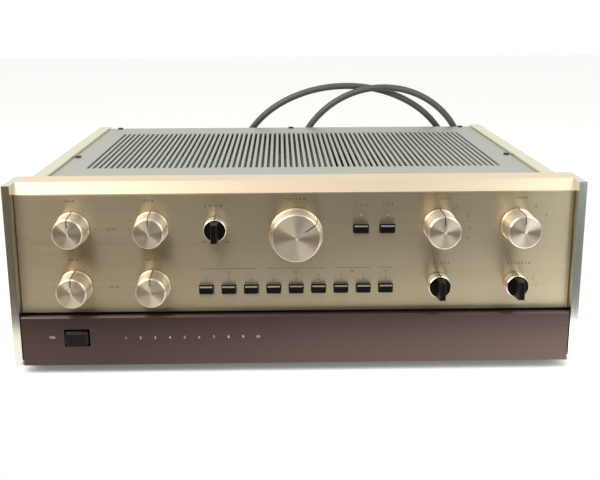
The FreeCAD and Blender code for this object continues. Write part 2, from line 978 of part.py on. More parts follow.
def make_pointer_knobs():
    back = panel_y - size.knob_gap
    drum_front = back - size.drum_length
    for name, (across, up) in pointer_knobs.items():
        make_drum(name + "_knob_skirt", across, up, back, drum_front)
        make_pointer(name + "_pointer_knob", across, up, back, drum_front)


# Rotary controls: a threaded bushing through the sheet, a nut in front and a can behind
def make_control(across, up, seat, thickness, can_radius):
    front = seat - size.nut_thickness - size.bushing_proud
    can_front = seat + thickness
    bushing = cylinder("bushing", "Y", size.bushing_radius, (across, front, up), can_front - front)
    can = cylinder("can", "Y", can_radius, (across, can_front, up), size.control_length)
    depth = seat + size.shaft_depth + size.bore_end_gap - front
    bore = cylinder("bore", "Y", bore_radius, (across, front, up), depth)
    nut_front = seat - size.nut_thickness
    nut = hexagon("nut", size.nut_radius, (across, nut_front, up), size.nut_thickness)
    nut_bore = cylinder(
        "nut_bore", "Y", size.bushing_radius, (across, nut_front, up), size.nut_thickness
    )
    return [cut("control", fuse("control_blank", bushing, can), bore), cut("bushing_nut", nut, nut_bore)]


def make_rotary_controls():
    parts = []
    for across, up in rotary_places:
        radius = size.volume_control_radius if (across, up) == volume_place else size.control_radius
        parts += make_control(across, up, panel_back, size.sheet, radius)
    for across, up in level_places.values():
        parts += make_control(across, up, tray_face, size.tray_sheet, size.level_control_radius)
    node(group("controls", parts), "rotary_controls")


# Buttons: a bevelled cap with a square plunger that runs in its switch
def make_button(
    label, across, up, width, height, front, back, corner, rim, plunger_side, plunger_length
):
    owner = body(label + "_body")
    cap = sketch(owner, "XZ_Plane", -back)
    rectangle(cap, across, up, width, height)
    pad(owner, cap, back - front)
    bevel(owner, corner, along_depth, rounded=True)
    bevel(owner, rim, in_plane(front, "Y"))
    plunger = sketch(owner, "XZ_Plane", -back)
    rectangle(plunger, across, up, plunger_side, plunger_side)
    pad(owner, plunger, plunger_length, backward=True)
    node(owner, label)


def make_switch(across, up, width, height, front, length, plunger_side, plunger_end, travel):
    """A switch body with a square bore that the plunger runs in."""
    case = block("switch_case", across, up, width, height, front, front + length)
    bore_side = plunger_side + 2 * size.plunger_fit
    bore_end = plunger_end + travel + size.bore_end_gap
    return cut("switch", case, block("switch_bore", across, up, bore_side, bore_side, front, bore_end))


def make_push_buttons():
    front = panel_y - size.button_reach
    back = panel_y + size.button_inside
    switches = []
    for label, (across, up, width) in buttons.items():
        make_button(
            label, across, up, width, size.button_height, front, back,
            size.button_corner, size.button_bevel, size.plunger_side, size.plunger_length,
        )
        switches.append(make_switch(
            across, up, size.switch_width, size.switch_height, chassis_back, size.switch_length,
            size.plunger_side, back + size.plunger_length, size.button_travel,
        ))
    node(group("switches", switches), "push_switches")


def make_power_button():
    front = cheek_front - size.power_reach
    back = panel_y + size.power_inside
    make_button(
        "power_button", -outer_column, power_z, size.power_width, size.power_height, front, back,
        size.power_corner, size.power_bevel, size.power_plunger_side, size.power_plunger_length,
    )
    switch = make_switch(
        -outer_column, power_z, size.power_switch_width, size.power_switch_height, tray_back,
        size.power_switch_length, size.power_plunger_side, back + size.power_plunger_length,
        size.power_travel,
    )
    node(switch, "power_switch")


def make_lamps():
    lamps = []
    front = panel_y - size.lamp_reach
    for across, up in lamp_places:
        lens = cylinder("lens", "Y", size.lamp_radius, (across, front, up), chassis_back - front)
        base_start = (across, chassis_back, up)
        holder = cylinder("holder", "Y", size.lamp_base_radius, base_start, size.lamp_base_length)
        lamps.append(fuse("lamp", lens, holder))
    node(group("lamps", lamps), "indicator_lamps")


def make_headphone_jack():
    front = tray_face - size.nut_thickness - size.bushing_proud
    mouth = (phones_x, front, level_z)
    bushing = cylinder("sleeve", "Y", size.phones_bushing_radius, mouth, tray_back - front)
    bore_end = front + size.phones_bore_length
    length = bore_end + size.phones_end_wall - tray_back
    case = cylinder("socket", "Y", size.phones_body_radius, (phones_x, tray_back, level_z), length)
    bore = cylinder("socket_bore", "Y", size.phones_bore_radius, mouth, size.phones_bore_length)
    nut_start = (phones_x, tray_face - size.nut_thickness, level_z)
    nut = hexagon("sleeve_nut", size.phones_nut_radius, nut_start, size.nut_thickness)
    nut_bore = cylinder(
        "sleeve_nut_bore", "Y", size.phones_bushing_radius, nut_start, size.nut_thickness
    )
    socket = cut("phones_socket", fuse("socket_blank", bushing, case), bore)
    node(group("phones", [socket, cut("phones_nut", nut, nut_bore)]), "headphone_jack")


# Side panels: a wall with a rail along its top, a ledge for the cover and a flange for the base
base_screw_x = side_inside - size.flange_width / 2
base_screw_y = panel_y + size.base_screw_setback
base_screw_run = size.body_depth - size.base_screw_setback - size.base_screw_end
base_screw_pitch = base_screw_run / (SIZES["base_screw_count"] - 1)
base_screw_ys = [base_screw_y + index * base_screw_pitch for index in range(SIZES["base_screw_count"])]
corner_screw_x = ledge_inside - size.cover_screw_corner
side_screw_x = rail_inside - size.cover_screw_side
side_screw_y = panel_y + size.cover_screw_setback
corner_screw_y = rear_y - size.cover_screw_inset


def make_side_panel(label, flip):
    web = rail_inside + size.sheet
    flange = side_inside - size.flange_width
    corners = [
        (side_outside, size.foot_height),
        (side_outside, top_z),
        (rail_inside, top_z),
        (rail_inside, cover_bottom),
        (ledge_inside, cover_bottom),
        (ledge_inside, ledge_bottom),
        (web, ledge_bottom),
        (web, top_z - size.side_thickness),
        (side_inside, top_z - size.side_thickness),
        (side_inside, base_top + size.sheet),
        (flange, base_top + size.sheet),
        (flange, base_top),
        (side_inside, base_top),
        (side_inside, size.foot_height),
    ]
    sign = -1 if flip else 1
    if flip:
        corners = mirrored(corners)
    owner = extrusion(label + "_body", "XZ_Plane", corners, frame_back, rear_y - frame_back)
    ledge_hole = sketch(owner, "XY_Plane", cover_bottom)
    circle(ledge_hole, sign * side_screw_x, side_screw_y, screw_hole)
    cut_depth(owner, ledge_hole, size.sheet)
    flange_holes = sketch(owner, "XY_Plane", base_top)
    for along in base_screw_ys:
        circle(flange_holes, sign * base_screw_x, along, screw_hole)
    cut_depth(owner, flange_holes, size.sheet, forward=True)
    node(owner, label)


# Top cover: a flat plate with a field of slots, resting on ledges all round
def cover_screw_places():
    places = [(across, corner_screw_y) for across in (-corner_screw_x, 0.0, corner_screw_x)]
    places += [(across, side_screw_y) for across in (-side_screw_x, side_screw_x)]
    return places


def make_cover():
    front = frame_back + size.cover_gap
    owner = extrusion(
        "cover_body", "XY_Plane",
        [(-cover_half, front), (cover_half, front), (cover_half, rear_y), (-cover_half, rear_y)],
        cover_bottom, size.cover_thickness,
    )
    holes = sketch(owner, "XY_Plane", cover_top)
    for across, along in cover_screw_places():
        circle(holes, across, along, screw_hole)
    cut_depth(owner, holes, size.cover_thickness)
    steps = whole(2 * (cover_half - size.slot_margin) / size.slot_pitch)
    field = steps * size.slot_pitch
    slot = sketch(owner, "XY_Plane", cover_top)
    slot_middle = panel_y + size.slot_setback + size.slot_length / 2
    rectangle(slot, -field / 2, slot_middle, size.slot_width, size.slot_length)
    first = cut_depth(owner, slot, size.cover_thickness)
    pattern = owner.newObject("PartDesign::LinearPattern", "slots")
    pattern.Originals = [first]
    pattern.Direction = (origin_feature(owner, "X_Axis"), [""])
    bind(pattern, "Length", field)
    bind(pattern, "Occurrences", steps + 1)
    owner.Tip = pattern
    node(owner, "top_cover")


def make_screw(across, along, seat, downward):
    """A slotted screw whose head rests on the seat, with its shank going down or up."""
    head_height = size.screw_head_height
    if downward:
        head_z, shank_z = seat, seat - size.screw_length
        slot_z = seat + head_height - size.screw_slot
    else:
        head_z, shank_z = seat - head_height, seat
        slot_z = head_z
    head = cylinder("head", "Z", size.screw_head_radius, (across, along, head_z), head_height)
    shank = cylinder("shank", "Z", size.screw_radius, (across, along, shank_z), size.screw_length)
    half_slot = size.screw_slot / 2
    slot = box(
        "screw_slot",
        (across - size.screw_head_radius, along - half_slot, slot_z),
        (across + size.screw_head_radius, along + half_slot, slot_z + size.screw_slot),
    )
    return cut("screw", fuse("screw_blank", head, shank), slot)


def make_cover_screws():
    screws = [make_screw(across, along, cover_top, True) for across, along in cover_screw_places()]
    node(group("cover_screw_set", screws), "cover_screws")


# Bottom plate with the bosses of the main board, the feet and the screws
board_left = size.board_side_gap - side_inside
board_right = transformer_x - size.transformer_width / 2 - size.board_middle_gap
board_front = panel_y + size.board_setback
board_back = board_front + size.board_depth
board_bottom = base_top + size.boss_height
board_top = board_bottom + size.board_thickness


def boss_places():
    near_x = board_left + size.board_inset
    near_y = board_front + size.board_inset
    far_x = board_right - size.board_inset
    far_y = board_back - size.board_inset
    return [(near_x, near_y), (far_x, near_y), (far_x, far_y), (near_x, far_y)]


def base_screw_places():
    return [(sign * base_screw_x, along) for sign in (-1, 1) for along in base_screw_ys]


def make_bottom_plate():
    corners = [
        (-side_inside, frame_back),
        (side_inside, frame_back),
        (side_inside, rear_y),
        (-side_inside, rear_y),
    ]
    owner = extrusion("base_body", "XY_Plane", corners, size.foot_height, size.base_thickness)
    bosses = sketch(owner, "XY_Plane", base_top)
    for across, along in boss_places():
        circle(bosses, across, along, size.boss_radius)
    pad(owner, bosses, size.boss_height)
    boss_holes = sketch(owner, "XY_Plane", board_bottom)
    for across, along in boss_places():
        circle(boss_holes, across, along, screw_hole)
    cut_depth(owner, boss_holes, size.screw_length)
    base_holes = sketch(owner, "XY_Plane", base_top)
    for across, along in base_screw_places():
        circle(base_holes, across, along, screw_hole)
    cut_depth(owner, base_holes, size.base_thickness)
    node(owner, "bottom_plate")


def make_case_screws():
    screws = [make_screw(across, along, size.foot_height, False) for across, along in base_screw_places()]
    screws += [make_screw(across, along, board_top, True) for across, along in boss_places()]
    node(group("case_screw_set", screws), "case_screws")


def make_feet():
    feet = []
    tread_radius = size.foot_radius - size.foot_taper
    foot_x = side_outside - size.foot_inset
    for across in (-foot_x, foot_x):
        for along in (panel_y + size.foot_front_inset, rear_y - size.foot_rear_inset):
            disc = cone("foot", "Z", tread_radius, size.foot_radius, (across, along, 0), size.foot_height)
            recess = cylinder(
                "recess", "Z", size.foot_recess_radius, (across, along, 0), size.foot_recess_depth
            )
            feet.append(cut("foot_turned", disc, recess))
    node(group("foot_set", feet), "feet")


# Rear panel and its fittings
def jack_places():
    places = []
    for level in range(SIZES["jack_rows"]):
        for column in range(SIZES["jack_columns"]):
            across = column * size.jack_pitch - jack_start
            places.append((across, size.jack_row_low + level * size.jack_row_pitch))
    return places


def outlet_columns():
    last = side_inside - size.outlet_inset
    return [last - index * size.outlet_pitch for index in reversed(range(SIZES["outlet_count"]))]


def make_rear_panel():
    front = rear_y - size.sheet
    notch = side_inside - size.flange_width - size.seat_gap
    step = base_top + size.sheet + size.seat_gap
    owner = extrusion(
        "rear_body", "XZ_Plane",
        [
            (-notch, base_top),
            (notch, base_top),
            (notch, step),
            (side_inside, step),
            (side_inside, ledge_bottom),
            (-side_inside, ledge_bottom),
            (-side_inside, step),
            (-notch, step),
        ],
        front, size.sheet,
    )
    flange_half = ledge_inside - size.seat_gap
    flange = sketch(owner, "XY_Plane", ledge_bottom)
    rectangle(flange, 0.0, rear_y - size.rear_flange / 2, 2 * flange_half, size.rear_flange)
    pad(owner, flange, size.sheet)
    screw_holes = sketch(owner, "XY_Plane", cover_bottom)
    for across in (-corner_screw_x, 0.0, corner_screw_x):
        circle(screw_holes, across, corner_screw_y, screw_hole)
    cut_depth(owner, screw_holes, size.sheet)
    holes = sketch(owner, "XZ_Plane", -front)
    for across, up in jack_places():
        circle(holes, across, up, size.jack_radius + size.jack_fit)
    for across in outlet_columns():
        width = size.outlet_width + 2 * size.panel_fit
        rectangle(holes, across, size.outlet_row, width, size.outlet_height + 2 * size.panel_fit)
    circle(holes, fuse_x, size.fuse_row, size.fuse_radius + size.panel_fit)
    circle(holes, ground_x, size.ground_row, size.ground_radius + size.panel_fit)
    circle(holes, cord_x, size.cord_row, size.relief_root_radius + size.panel_fit)
    cut_depth(owner, holes, size.sheet)
    node(owner, "rear_panel")


def make_jacks():
    """Each socket is a metal barrel with a flange on the panel, round an insulating core."""
    barrels = []
    cores = []
    back = rear_y + size.jack_reach
    front = rear_y - size.jack_inside
    bore = size.jack_radius - size.jack_wall
    for across, up in jack_places():
        tube = cylinder("tube", "Y", size.jack_radius, (across, front, up), back - front)
        rim = cylinder(
            "rim", "Y", size.jack_flange_radius, (across, rear_y, up), size.jack_flange_thickness
        )
        hollow = cylinder("hollow", "Y", bore, (across, front, up), back - front)
        barrels.append(cut("barrel", fuse("barrel_blank", tube, rim), hollow))
        core_length = back - size.jack_core_recess - front
        core = cylinder("core", "Y", bore - size.jack_core_clearance, (across, front, up), core_length)
        pin_hole = cylinder("pin_hole", "Y", size.jack_pin_radius, (across, front, up), core_length)
        cores.append(cut("insulator", core, pin_hole))
    node(group("barrels", barrels), "jack_barrels")
    node(group("insulators", cores), "jack_insulators")


def make_outlets():
    outlets = []
    up = size.outlet_row
    back = rear_y + size.outlet_reach
    for across in outlet_columns():
        case = block(
            "outlet_case", across, up, size.outlet_width, size.outlet_height,
            rear_y - size.outlet_depth, rear_y,
        )
        width = size.outlet_width + 2 * size.outlet_flange
        plate = block(
            "outlet_plate", across, up, width, size.outlet_height + 2 * size.outlet_flange, rear_y, back
        )
        slots = []
        for side in (-1, 1):
            middle = across + side * size.blade_spread / 2
            slots.append(block(
                "outlet_slot", middle, up, size.outlet_slot_width, size.outlet_slot_height,
                back - size.outlet_slot_depth, back,
            ))
        outlets.append(cut("outlet", fuse("outlet_blank", case, plate), *slots))
    node(group("outlets", outlets), "mains_outlets")


def make_fuse_holder():
    start = (fuse_x, rear_y - size.fuse_length, size.fuse_row)
    holder = cylinder("fuse_tube", "Y", size.fuse_radius, start, size.fuse_length)
    cap = cylinder("fuse_cap", "Y", size.fuse_cap_radius, (fuse_x, rear_y, size.fuse_row), size.fuse_reach)
    node(fuse("fuse", holder, cap), "fuse_holder")


def make_ground_post():
    up = size.ground_row
    start = (ground_x, rear_y - size.ground_inside, up)
    post = cylinder("post", "Y", size.ground_radius, start, size.ground_inside + size.ground_reach)
    nut = cylinder("thumb_nut", "Y", size.ground_nut_radius, (ground_x, rear_y, up), size.ground_nut_length)
    node(fuse("ground", post, nut), "ground_post")


# Inside the case
def make_transformer():
    """A laminated core with two windows and a winding round its middle leg."""
    width = size.transformer_width
    height = size.transformer_height
    leg = size.transformer_leg
    across = transformer_x
    middle_z = base_top + height / 2
    front = panel_y + size.transformer_setback
    back = front + size.transformer_depth
    core = block("core_blank", across, middle_z, width, height, front, back)
    window_width = (width - 4 * leg) / 2
    window_height = height - 2 * leg
    windows = []
    for side in (-1, 1):
        middle = across + side * (leg + window_width / 2)
        windows.append(block("window", middle, middle_z, window_width, window_height, front, back))
    swell = size.coil_swell
    coil_width = 2 * leg + 2 * window_width
    coil = block(
        "coil_blank", across, middle_z, coil_width, window_height, front - swell, back + swell
    )
    leg_hole = block("leg_hole", across, middle_z, 2 * leg, window_height, front, back)
    parts = [cut("laminations", core, *windows), cut("winding", coil, leg_hole)]
    node(group("transformer", parts), "power_transformer")


def make_capacitors():
    cans = []
    last = side_inside - size.capacitor_inset
    for index in range(SIZES["capacitor_count"]):
        start = (last - index * size.capacitor_pitch, panel_y + size.capacitor_setback, base_top)
        cans.append(cylinder("filter_can", "Z", size.capacitor_radius, start, size.capacitor_height))
    node(group("filter_cans", cans), "filter_capacitors")


def spread(count):
    """Even columns across the board, between the insets at its ends."""
    start = board_left + size.part_inset
    pitch = (board_right - size.part_inset - start) / (count - 1)
    return [start + index * pitch for index in range(count)]


def make_main_board():
    """The main board on its bosses, with small cans, relays and chips in rows."""
    low = (board_left, board_front, board_bottom)
    plate = box("board_plate", low, (board_right, board_back, board_top))
    holes = []
    for across, along in boss_places():
        start = (across, along, board_bottom)
        holes.append(cylinder("board_hole", "Z", screw_hole, start, size.board_thickness))
    parts = [cut("board", plate, *holes)]
    for across in spread(SIZES["can_count"]):
        start = (across, board_front + size.can_row, board_top)
        parts.append(cylinder("small_can", "Z", size.can_radius, start, size.can_height))
    rows = (
        ("relay", size.relay_row, size.relay_width, size.relay_depth, size.relay_height),
        ("chip", size.chip_row, size.chip_width, size.chip_depth, size.chip_height),
    )
    for name, row_start, width, depth, height in rows:
        near = board_front + row_start
        for across in spread(SIZES[name + "_count"]):
            low = (across - width / 2, near, board_top)
            high = (across + width / 2, near + depth, board_top + height)
            parts.append(box(name, low, high))
    node(group("board_parts", parts), "main_board")


# Mains lead: its strain relief, the lead itself and the plug
def make_relief():
    up = size.cord_row
    start = (cord_x, rear_y - size.relief_inside, up)
    inner = cylinder("relief_inner", "Y", size.relief_root_radius, start, size.relief_inside)
    flange = cylinder(
        "relief_flange", "Y", size.relief_flange_radius, (cord_x, rear_y, up), size.relief_flange_thickness
    )
    cone_start = rear_y + size.relief_flange_thickness
    sleeve = cone(
        "relief_sleeve", "Y", size.relief_root_radius, size.relief_tip_radius,
        (cord_x, cone_start, up), size.relief_length - size.relief_flange_thickness,
    )
    node(fuse("relief", inner, flange, sleeve), "cord_relief")


# The lead's two loose standing turns lean on the rear edge: (middle, half width, half height,
# distance behind the rear panel at the table and at the top)
FIRST_TURN = (61.0, 120.0, 95.5, 62.0, 5.5)
SECOND_TURN = (101.0, 95.0, 95.0, 42.0, -3.6)
TURN_POINTS = 12
BLEND_START = 0.65
BLEND_LENGTH = 0.7
NEIGHBOURS = 16

# Points of the lead that are not in a turn: across, behind the rear panel, above the table
LEAD_IN = [
    (190.0, 50.0, 36.0),
    (180.0, 76.0, 28.0),
    (152.0, 90.0, 15.0),
    (112.0, 90.0, 6.0),
    (70.0, 78.0, 3.5),
]
LEAD_OUT = [
    (84.0, 37.0, 3.5),
    (38.0, 34.0, 3.5),
    (-10.0, 35.0, 3.5),
    (-58.0, 40.0, 4.5),
    (-97.0, 46.0, 7.5),
]
PLUG_END = (-132.0, 46.0)


def turn_point(step):
    """A corner of the many-sided shape round the turns, clockwise from the table as seen in front."""
    turns = (step + 0.5) / TURN_POINTS
    share = min(max((turns - BLEND_START) / BLEND_LENGTH, 0.0), 1.0)
    share = share * share * (3 - 2 * share)
    middle, half_width, half_height, foot, head = [
        first + share * (second - first) for first, second in zip(FIRST_TURN, SECOND_TURN)
    ]
    angle = 2 * math.pi * turns
    outward = 1 / math.cos(math.pi / TURN_POINTS)
    rest_z = SIZES["cord_diameter"] / 2
    across = middle - half_width * outward * math.sin(angle)
    up = rest_z + half_height * (1 - outward * math.cos(angle))
    behind = foot + (head - foot) * (up - rest_z) / (2 * half_height)
    return (across, behind, up)


def tube_path(points, arc_share=0.45):
    """Straight runs through the points, joined by tangent arcs as large as the runs allow."""
    edges = []
    radii = []
    start = points[0]
    for before, corner, after in zip(points, points[1:], points[2:]):
        toward = (before - corner).normalize()
        away = (after - corner).normalize()
        half_turn = (math.pi - toward.getAngle(away)) / 2
        reach = arc_share * min(before.distanceToPoint(corner), after.distanceToPoint(corner))
        radius = reach / math.tan(half_turn)
        inward = (toward + away).normalize()
        crown = corner + inward * (radius / math.cos(half_turn) - radius)
        enter = corner + toward * reach
        leave = corner + away * reach
        edges.append(Part.LineSegment(start, enter).toShape())
        edges.append(Part.Arc(enter, crown, leave).toShape())
        radii.append(radius)
        start = leave
    edges.append(Part.LineSegment(start, points[-1]).toShape())
    return Part.Wire(edges), radii


def least_gap(path, diameter):
    """The least gap between two stretches of the lead that are not beside each other."""
    samples = path.discretize(Distance=diameter / 2)
    closest = min(
        samples[first].distanceToPoint(samples[second])
        for first in range(len(samples))
        for second in range(first + NEIGHBOURS, len(samples))
    )
    return closest - diameter


def make_cord():
    rear = number_of(rear_y)
    diameter = SIZES["cord_diameter"]
    exit_point = (number_of(cord_x), SIZES["relief_length"], SIZES["cord_row"])
    turns = [turn_point(step) for step in range(2 * TURN_POINTS)]
    plug_point = PLUG_END + (SIZES["plug_height"] / 2,)
    route = [exit_point] + LEAD_IN + turns + LEAD_OUT + [plug_point]
    points = [Vector(across, rear + behind, up) for across, behind, up in route]
    path, radii = tube_path(points)
    ring = Part.Wire(Part.Circle(points[0], points[1] - points[0], diameter / 2).toShape())
    tube = path.makePipeShell([ring], True, False)
    expected = math.pi * diameter * diameter / 4 * path.Length
    runs = [before.distanceToPoint(after) for before, after in zip(points, points[1:])]
    measures = (path.Length, min(runs), max(runs), min(radii))
    print("cord: length %.0f, runs %.0f to %.0f, least radius %.0f" % measures)
    print("cord: volume over section times length %.5f" % (tube.Volume / expected))
    print("cord: least gap to itself %.2f" % least_gap(path, diameter))
    item = doc.addObject("Part::Feature", "cord_tube")
    item.Shape = tube
    item.Placement = Placement()
    node(item, "mains_cord")


def make_plug():
    """A moulded two-blade plug that lies on the table at the end of the lead."""
    across, behind = PLUG_END
    up = size.plug_height / 2
    middle_y = rear_y + behind
    neck_end = across - size.plug_neck
    neck = cone(
        "neck", "X", size.plug_height / 2 - size.plug_bevel / 2, size.plug_neck_radius,
        (neck_end, middle_y, up), size.plug_neck,
    )
    owner = extrusion(
        "plug_body", "YZ_Plane",
        [
            (middle_y - size.plug_width / 2, up - size.plug_height / 2),
            (middle_y + size.plug_width / 2, up - size.plug_height / 2),
            (middle_y + size.plug_width / 2, up + size.plug_height / 2),
            (middle_y - size.plug_width / 2, up + size.plug_height / 2),
        ],
        neck_end - size.plug_length, size.plug_length,
    )
    rear_edges = in_plane(neck_end, "X")
    bevel(owner, size.plug_bevel, rear_edges)
    parts = [fuse("plug_shell", owner, neck)]
    tip = neck_end - size.plug_length - size.blade_length
    for side in (-1, 1):
        blade_y = middle_y + side * size.blade_spread / 2
        parts.append(box(
            "blade",
            (tip, blade_y - size.blade_thickness / 2, up - size.blade_height / 2),
            (tip + size.blade_length, blade_y + size.blade_thickness / 2, up + size.blade_height / 2),
        ))
    node(group("plug", parts), "mains_plug")


make_front_panel()
make_top_rail()
make_cheek("left_cheek", -front_half, -cheek_inside, -front_half, False)
make_cheek("right_cheek", cheek_inside, cheek_inside, front_half, True)
make_front_chassis()
make_tray()
make_door()
make_hinge_pins()
make_magnet()
make_main_knobs()
make_level_knobs()
make_pointer_knobs()
make_rotary_controls()
make_push_buttons()
make_power_button()
make_lamps()
make_headphone_jack()
make_side_panel("left_side_panel", True)
make_side_panel("right_side_panel", False)
make_cover()
make_cover_screws()
make_bottom_plate()
make_case_screws()
make_feet()
make_rear_panel()
make_jacks()
make_outlets()
make_fuse_holder()
make_ground_post()
make_transformer()
make_capacitors()
make_main_board()
make_relief()
make_cord()
make_plug()
doc.recompute()

# Nothing is written unless every object and every shape is sound
faults = [item.Label for item in doc.Objects if "Invalid" in item.State or "Error" in item.State]
for item in nodes:
    if item.Shape.isNull() or not item.Shape.isValid() or not item.Shape.Solids:
        faults.append(item.Label)
if faults:
    raise RuntimeError("not sound: " + ", ".join(faults))

os.makedirs("parts", exist_ok=True)
for item in nodes:
    item.Shape.exportStep("parts/%s.step" % item.Label)
print("%d sub-parts" % len(nodes))
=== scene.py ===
import math

import bmesh
import bpy
from mathutils import Matrix, Vector


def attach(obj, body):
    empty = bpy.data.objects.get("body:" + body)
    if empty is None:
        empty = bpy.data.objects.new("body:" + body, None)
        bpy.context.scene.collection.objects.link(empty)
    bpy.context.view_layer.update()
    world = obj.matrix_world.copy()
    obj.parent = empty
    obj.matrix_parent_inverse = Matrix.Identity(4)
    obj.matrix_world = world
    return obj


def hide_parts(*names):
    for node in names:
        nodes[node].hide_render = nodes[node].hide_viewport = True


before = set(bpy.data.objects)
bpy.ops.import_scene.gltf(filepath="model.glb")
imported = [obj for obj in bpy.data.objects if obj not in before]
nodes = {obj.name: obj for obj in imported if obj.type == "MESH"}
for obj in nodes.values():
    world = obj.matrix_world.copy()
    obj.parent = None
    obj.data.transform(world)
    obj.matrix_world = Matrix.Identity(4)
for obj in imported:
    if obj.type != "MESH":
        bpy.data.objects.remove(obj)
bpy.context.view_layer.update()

scene = bpy.context.scene

# Planes of the solids, in metres: the gold panel's face, the door's face, the rear panel's back
PANEL = -0.157
DOOR_FACE = PANEL - 0.0082
REAR = PANEL + 0.330

# Camera: solved for a picture 600 wide, with the horizon slightly tilted
PICTURE_WIDTH = 600
FOCAL_PIXELS = 947.69
SENSOR_WIDTH = 36
YAW, PITCH, ROLL = math.radians(1.1283), math.radians(14.3406), math.radians(-0.2321)
EYE = Vector((-0.0109, PANEL - 0.7127, 0.2885))


def make_camera():
    heading = Vector((math.sin(YAW), math.cos(YAW), 0))
    forward = heading * math.cos(PITCH) - Vector((0, 0, math.sin(PITCH)))
    right = Vector((math.cos(YAW), -math.sin(YAW), 0))
    up = right.cross(forward)
    side = right * math.cos(ROLL) + up * math.sin(ROLL)
    top = up * math.cos(ROLL) - right * math.sin(ROLL)
    data = bpy.data.cameras.new("camera")
    data.sensor_fit = "HORIZONTAL"
    data.sensor_width = SENSOR_WIDTH
    data.lens = SENSOR_WIDTH * FOCAL_PIXELS / PICTURE_WIDTH
    data.clip_start = 0.01
    data.clip_end = 20
    camera = bpy.data.objects.new("camera", data)
    scene.collection.objects.link(camera)
    camera.matrix_world = Matrix((
        (side.x, top.x, -forward.x, EYE.x),
        (side.y, top.y, -forward.y, EYE.y),
        (side.z, top.z, -forward.z, EYE.z),
        (0, 0, 0, 1),
    ))
    scene.camera = camera


make_camera()
scene.view_settings.view_transform = "Standard"
scene.view_settings.look = "None"
scene.view_settings.exposure = 0
scene.view_settings.gamma = 1

# Mains lead: the same points as the solid's, in millimetres from the middle and the rear panel's
# back, with two loose turns that stand behind the case
CORD_DIAMETER = 0.007
LYING = 1000 * CORD_DIAMETER / 2
EXIT = (190, 22, 36)
LEAD_IN = [(190, 50, 36), (180, 76, 28), (152, 90, 15), (112, 90, 6), (70, 78, LYING)]
LEAD_OUT = [(84, 37, LYING), (38, 34, LYING), (-10, 35, LYING), (-58, 40, 4.5), (-97, 46, 7.5)]
PLUG_END = (-132, 46, 7.5)
# A turn's middle, half width, half height, and the places of its foot and its head behind the case
FIRST_TURN = (61.0, 120.0, 95.5, 62.0, 5.5)
SECOND_TURN = (101.0, 95.0, 95.0, 42.0, -3.6)
TURN_POINTS = 12
# Where the first turn's measures begin to pass into the second's, and over how much of a turn
CHANGE_START, CHANGE_SPAN = 0.65, 0.7


def turn_point(step):
    """The points stand off the turn, so that the curve drawn inside them has its measures."""
    turns = (step + 0.5) / TURN_POINTS
    share = min(max((turns - CHANGE_START) / CHANGE_SPAN, 0.0), 1.0)
    share = share * share * (3 - 2 * share)
    middle, half_width, half_height, foot, head = [
        a + share * (b - a) for a, b in zip(FIRST_TURN, SECOND_TURN)
    ]
    angle = 2 * math.pi * turns
    outward = 1 / math.cos(math.pi / TURN_POINTS)
    x = middle - half_width * outward * math.sin(angle)
    z = LYING + half_height * (1 - outward * math.cos(angle))
    y = foot + (head - foot) * (z - LYING) / (2 * half_height)
    return (x, y, z)


route = [EXIT] + LEAD_IN + [turn_point(i) for i in range(2 * TURN_POINTS)]
route += LEAD_OUT + [PLUG_END]
lead_data = bpy.data.curves.new("mains_lead", "CURVE")
lead_data.dimensions = "3D"
spline = lead_data.splines.new("NURBS")
spline.points.add(len(route) - 1)
for point, (x, y, z) in zip(spline.points, route):
    point.co = (x / 1000, REAR + y / 1000, z / 1000, 1)
    point.radius = CORD_DIAMETER / 2
spline.order_u = 3
spline.use_endpoint_u = True
spline.resolution_u = 10
# The points hold the radius in metres, so that the curve's box is the cord's own
lead_data.bevel_depth = 1
lead_data.bevel_resolution = 6
lead_data.use_fill_caps = True
lead = bpy.data.objects.new("mains_lead", lead_data)
scene.collection.objects.link(lead)
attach(lead, "chassis")
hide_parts("mains_cord")


# Shading helpers: each adds to the node tree and, but for bump and surface, gives an output
BUMP_DEPTH = 0.0002


def noise(tree, fineness, detail=3.0, roughness=0.5):
    """Noise over the piece's own coordinates in metres, with its fineness along X, Y and Z."""
    coords = tree.nodes.new("ShaderNodeTexCoord")
    mapping = tree.nodes.new("ShaderNodeMapping")
    mapping.inputs["Scale"].default_value = fineness
    texture = tree.nodes.new("ShaderNodeTexNoise")
    texture.inputs["Scale"].default_value = 1
    texture.inputs["Detail"].default_value = detail
    texture.inputs["Roughness"].default_value = roughness
    tree.links.new(coords.outputs["Object"], mapping.inputs["Vector"])
    tree.links.new(mapping.outputs["Vector"], texture.inputs["Vector"])
    return texture.outputs["Fac"]


def ranged(tree, value, low, high, start=0.25, end=0.75):
    node = tree.nodes.new("ShaderNodeMapRange")
    node.inputs["From Min"].default_value = start
    node.inputs["From Max"].default_value = end
    node.inputs["To Min"].default_value = low
    node.inputs["To Max"].default_value = high
    tree.links.new(value, node.inputs["Value"])
    return node.outputs["Result"]


def eased(tree, value, start, end):
    """From 0 to 1 with soft ends."""
    node = tree.nodes.new("ShaderNodeMapRange")
    node.interpolation_type = "SMOOTHSTEP"
    node.inputs["From Min"].default_value = start
    node.inputs["From Max"].default_value = end
    tree.links.new(value, node.inputs["Value"])
    return node.outputs["Result"]


def combined(tree, operation, first, second, clamp=True):
    """Two values combined, and kept between 0 and 1 unless clamp is off."""
    node = tree.nodes.new("ShaderNodeMath")
    node.operation = operation
    node.use_clamp = clamp
    tree.links.new(first, node.inputs[0])
    tree.links.new(second, node.inputs[1])
    return node.outputs["Value"]


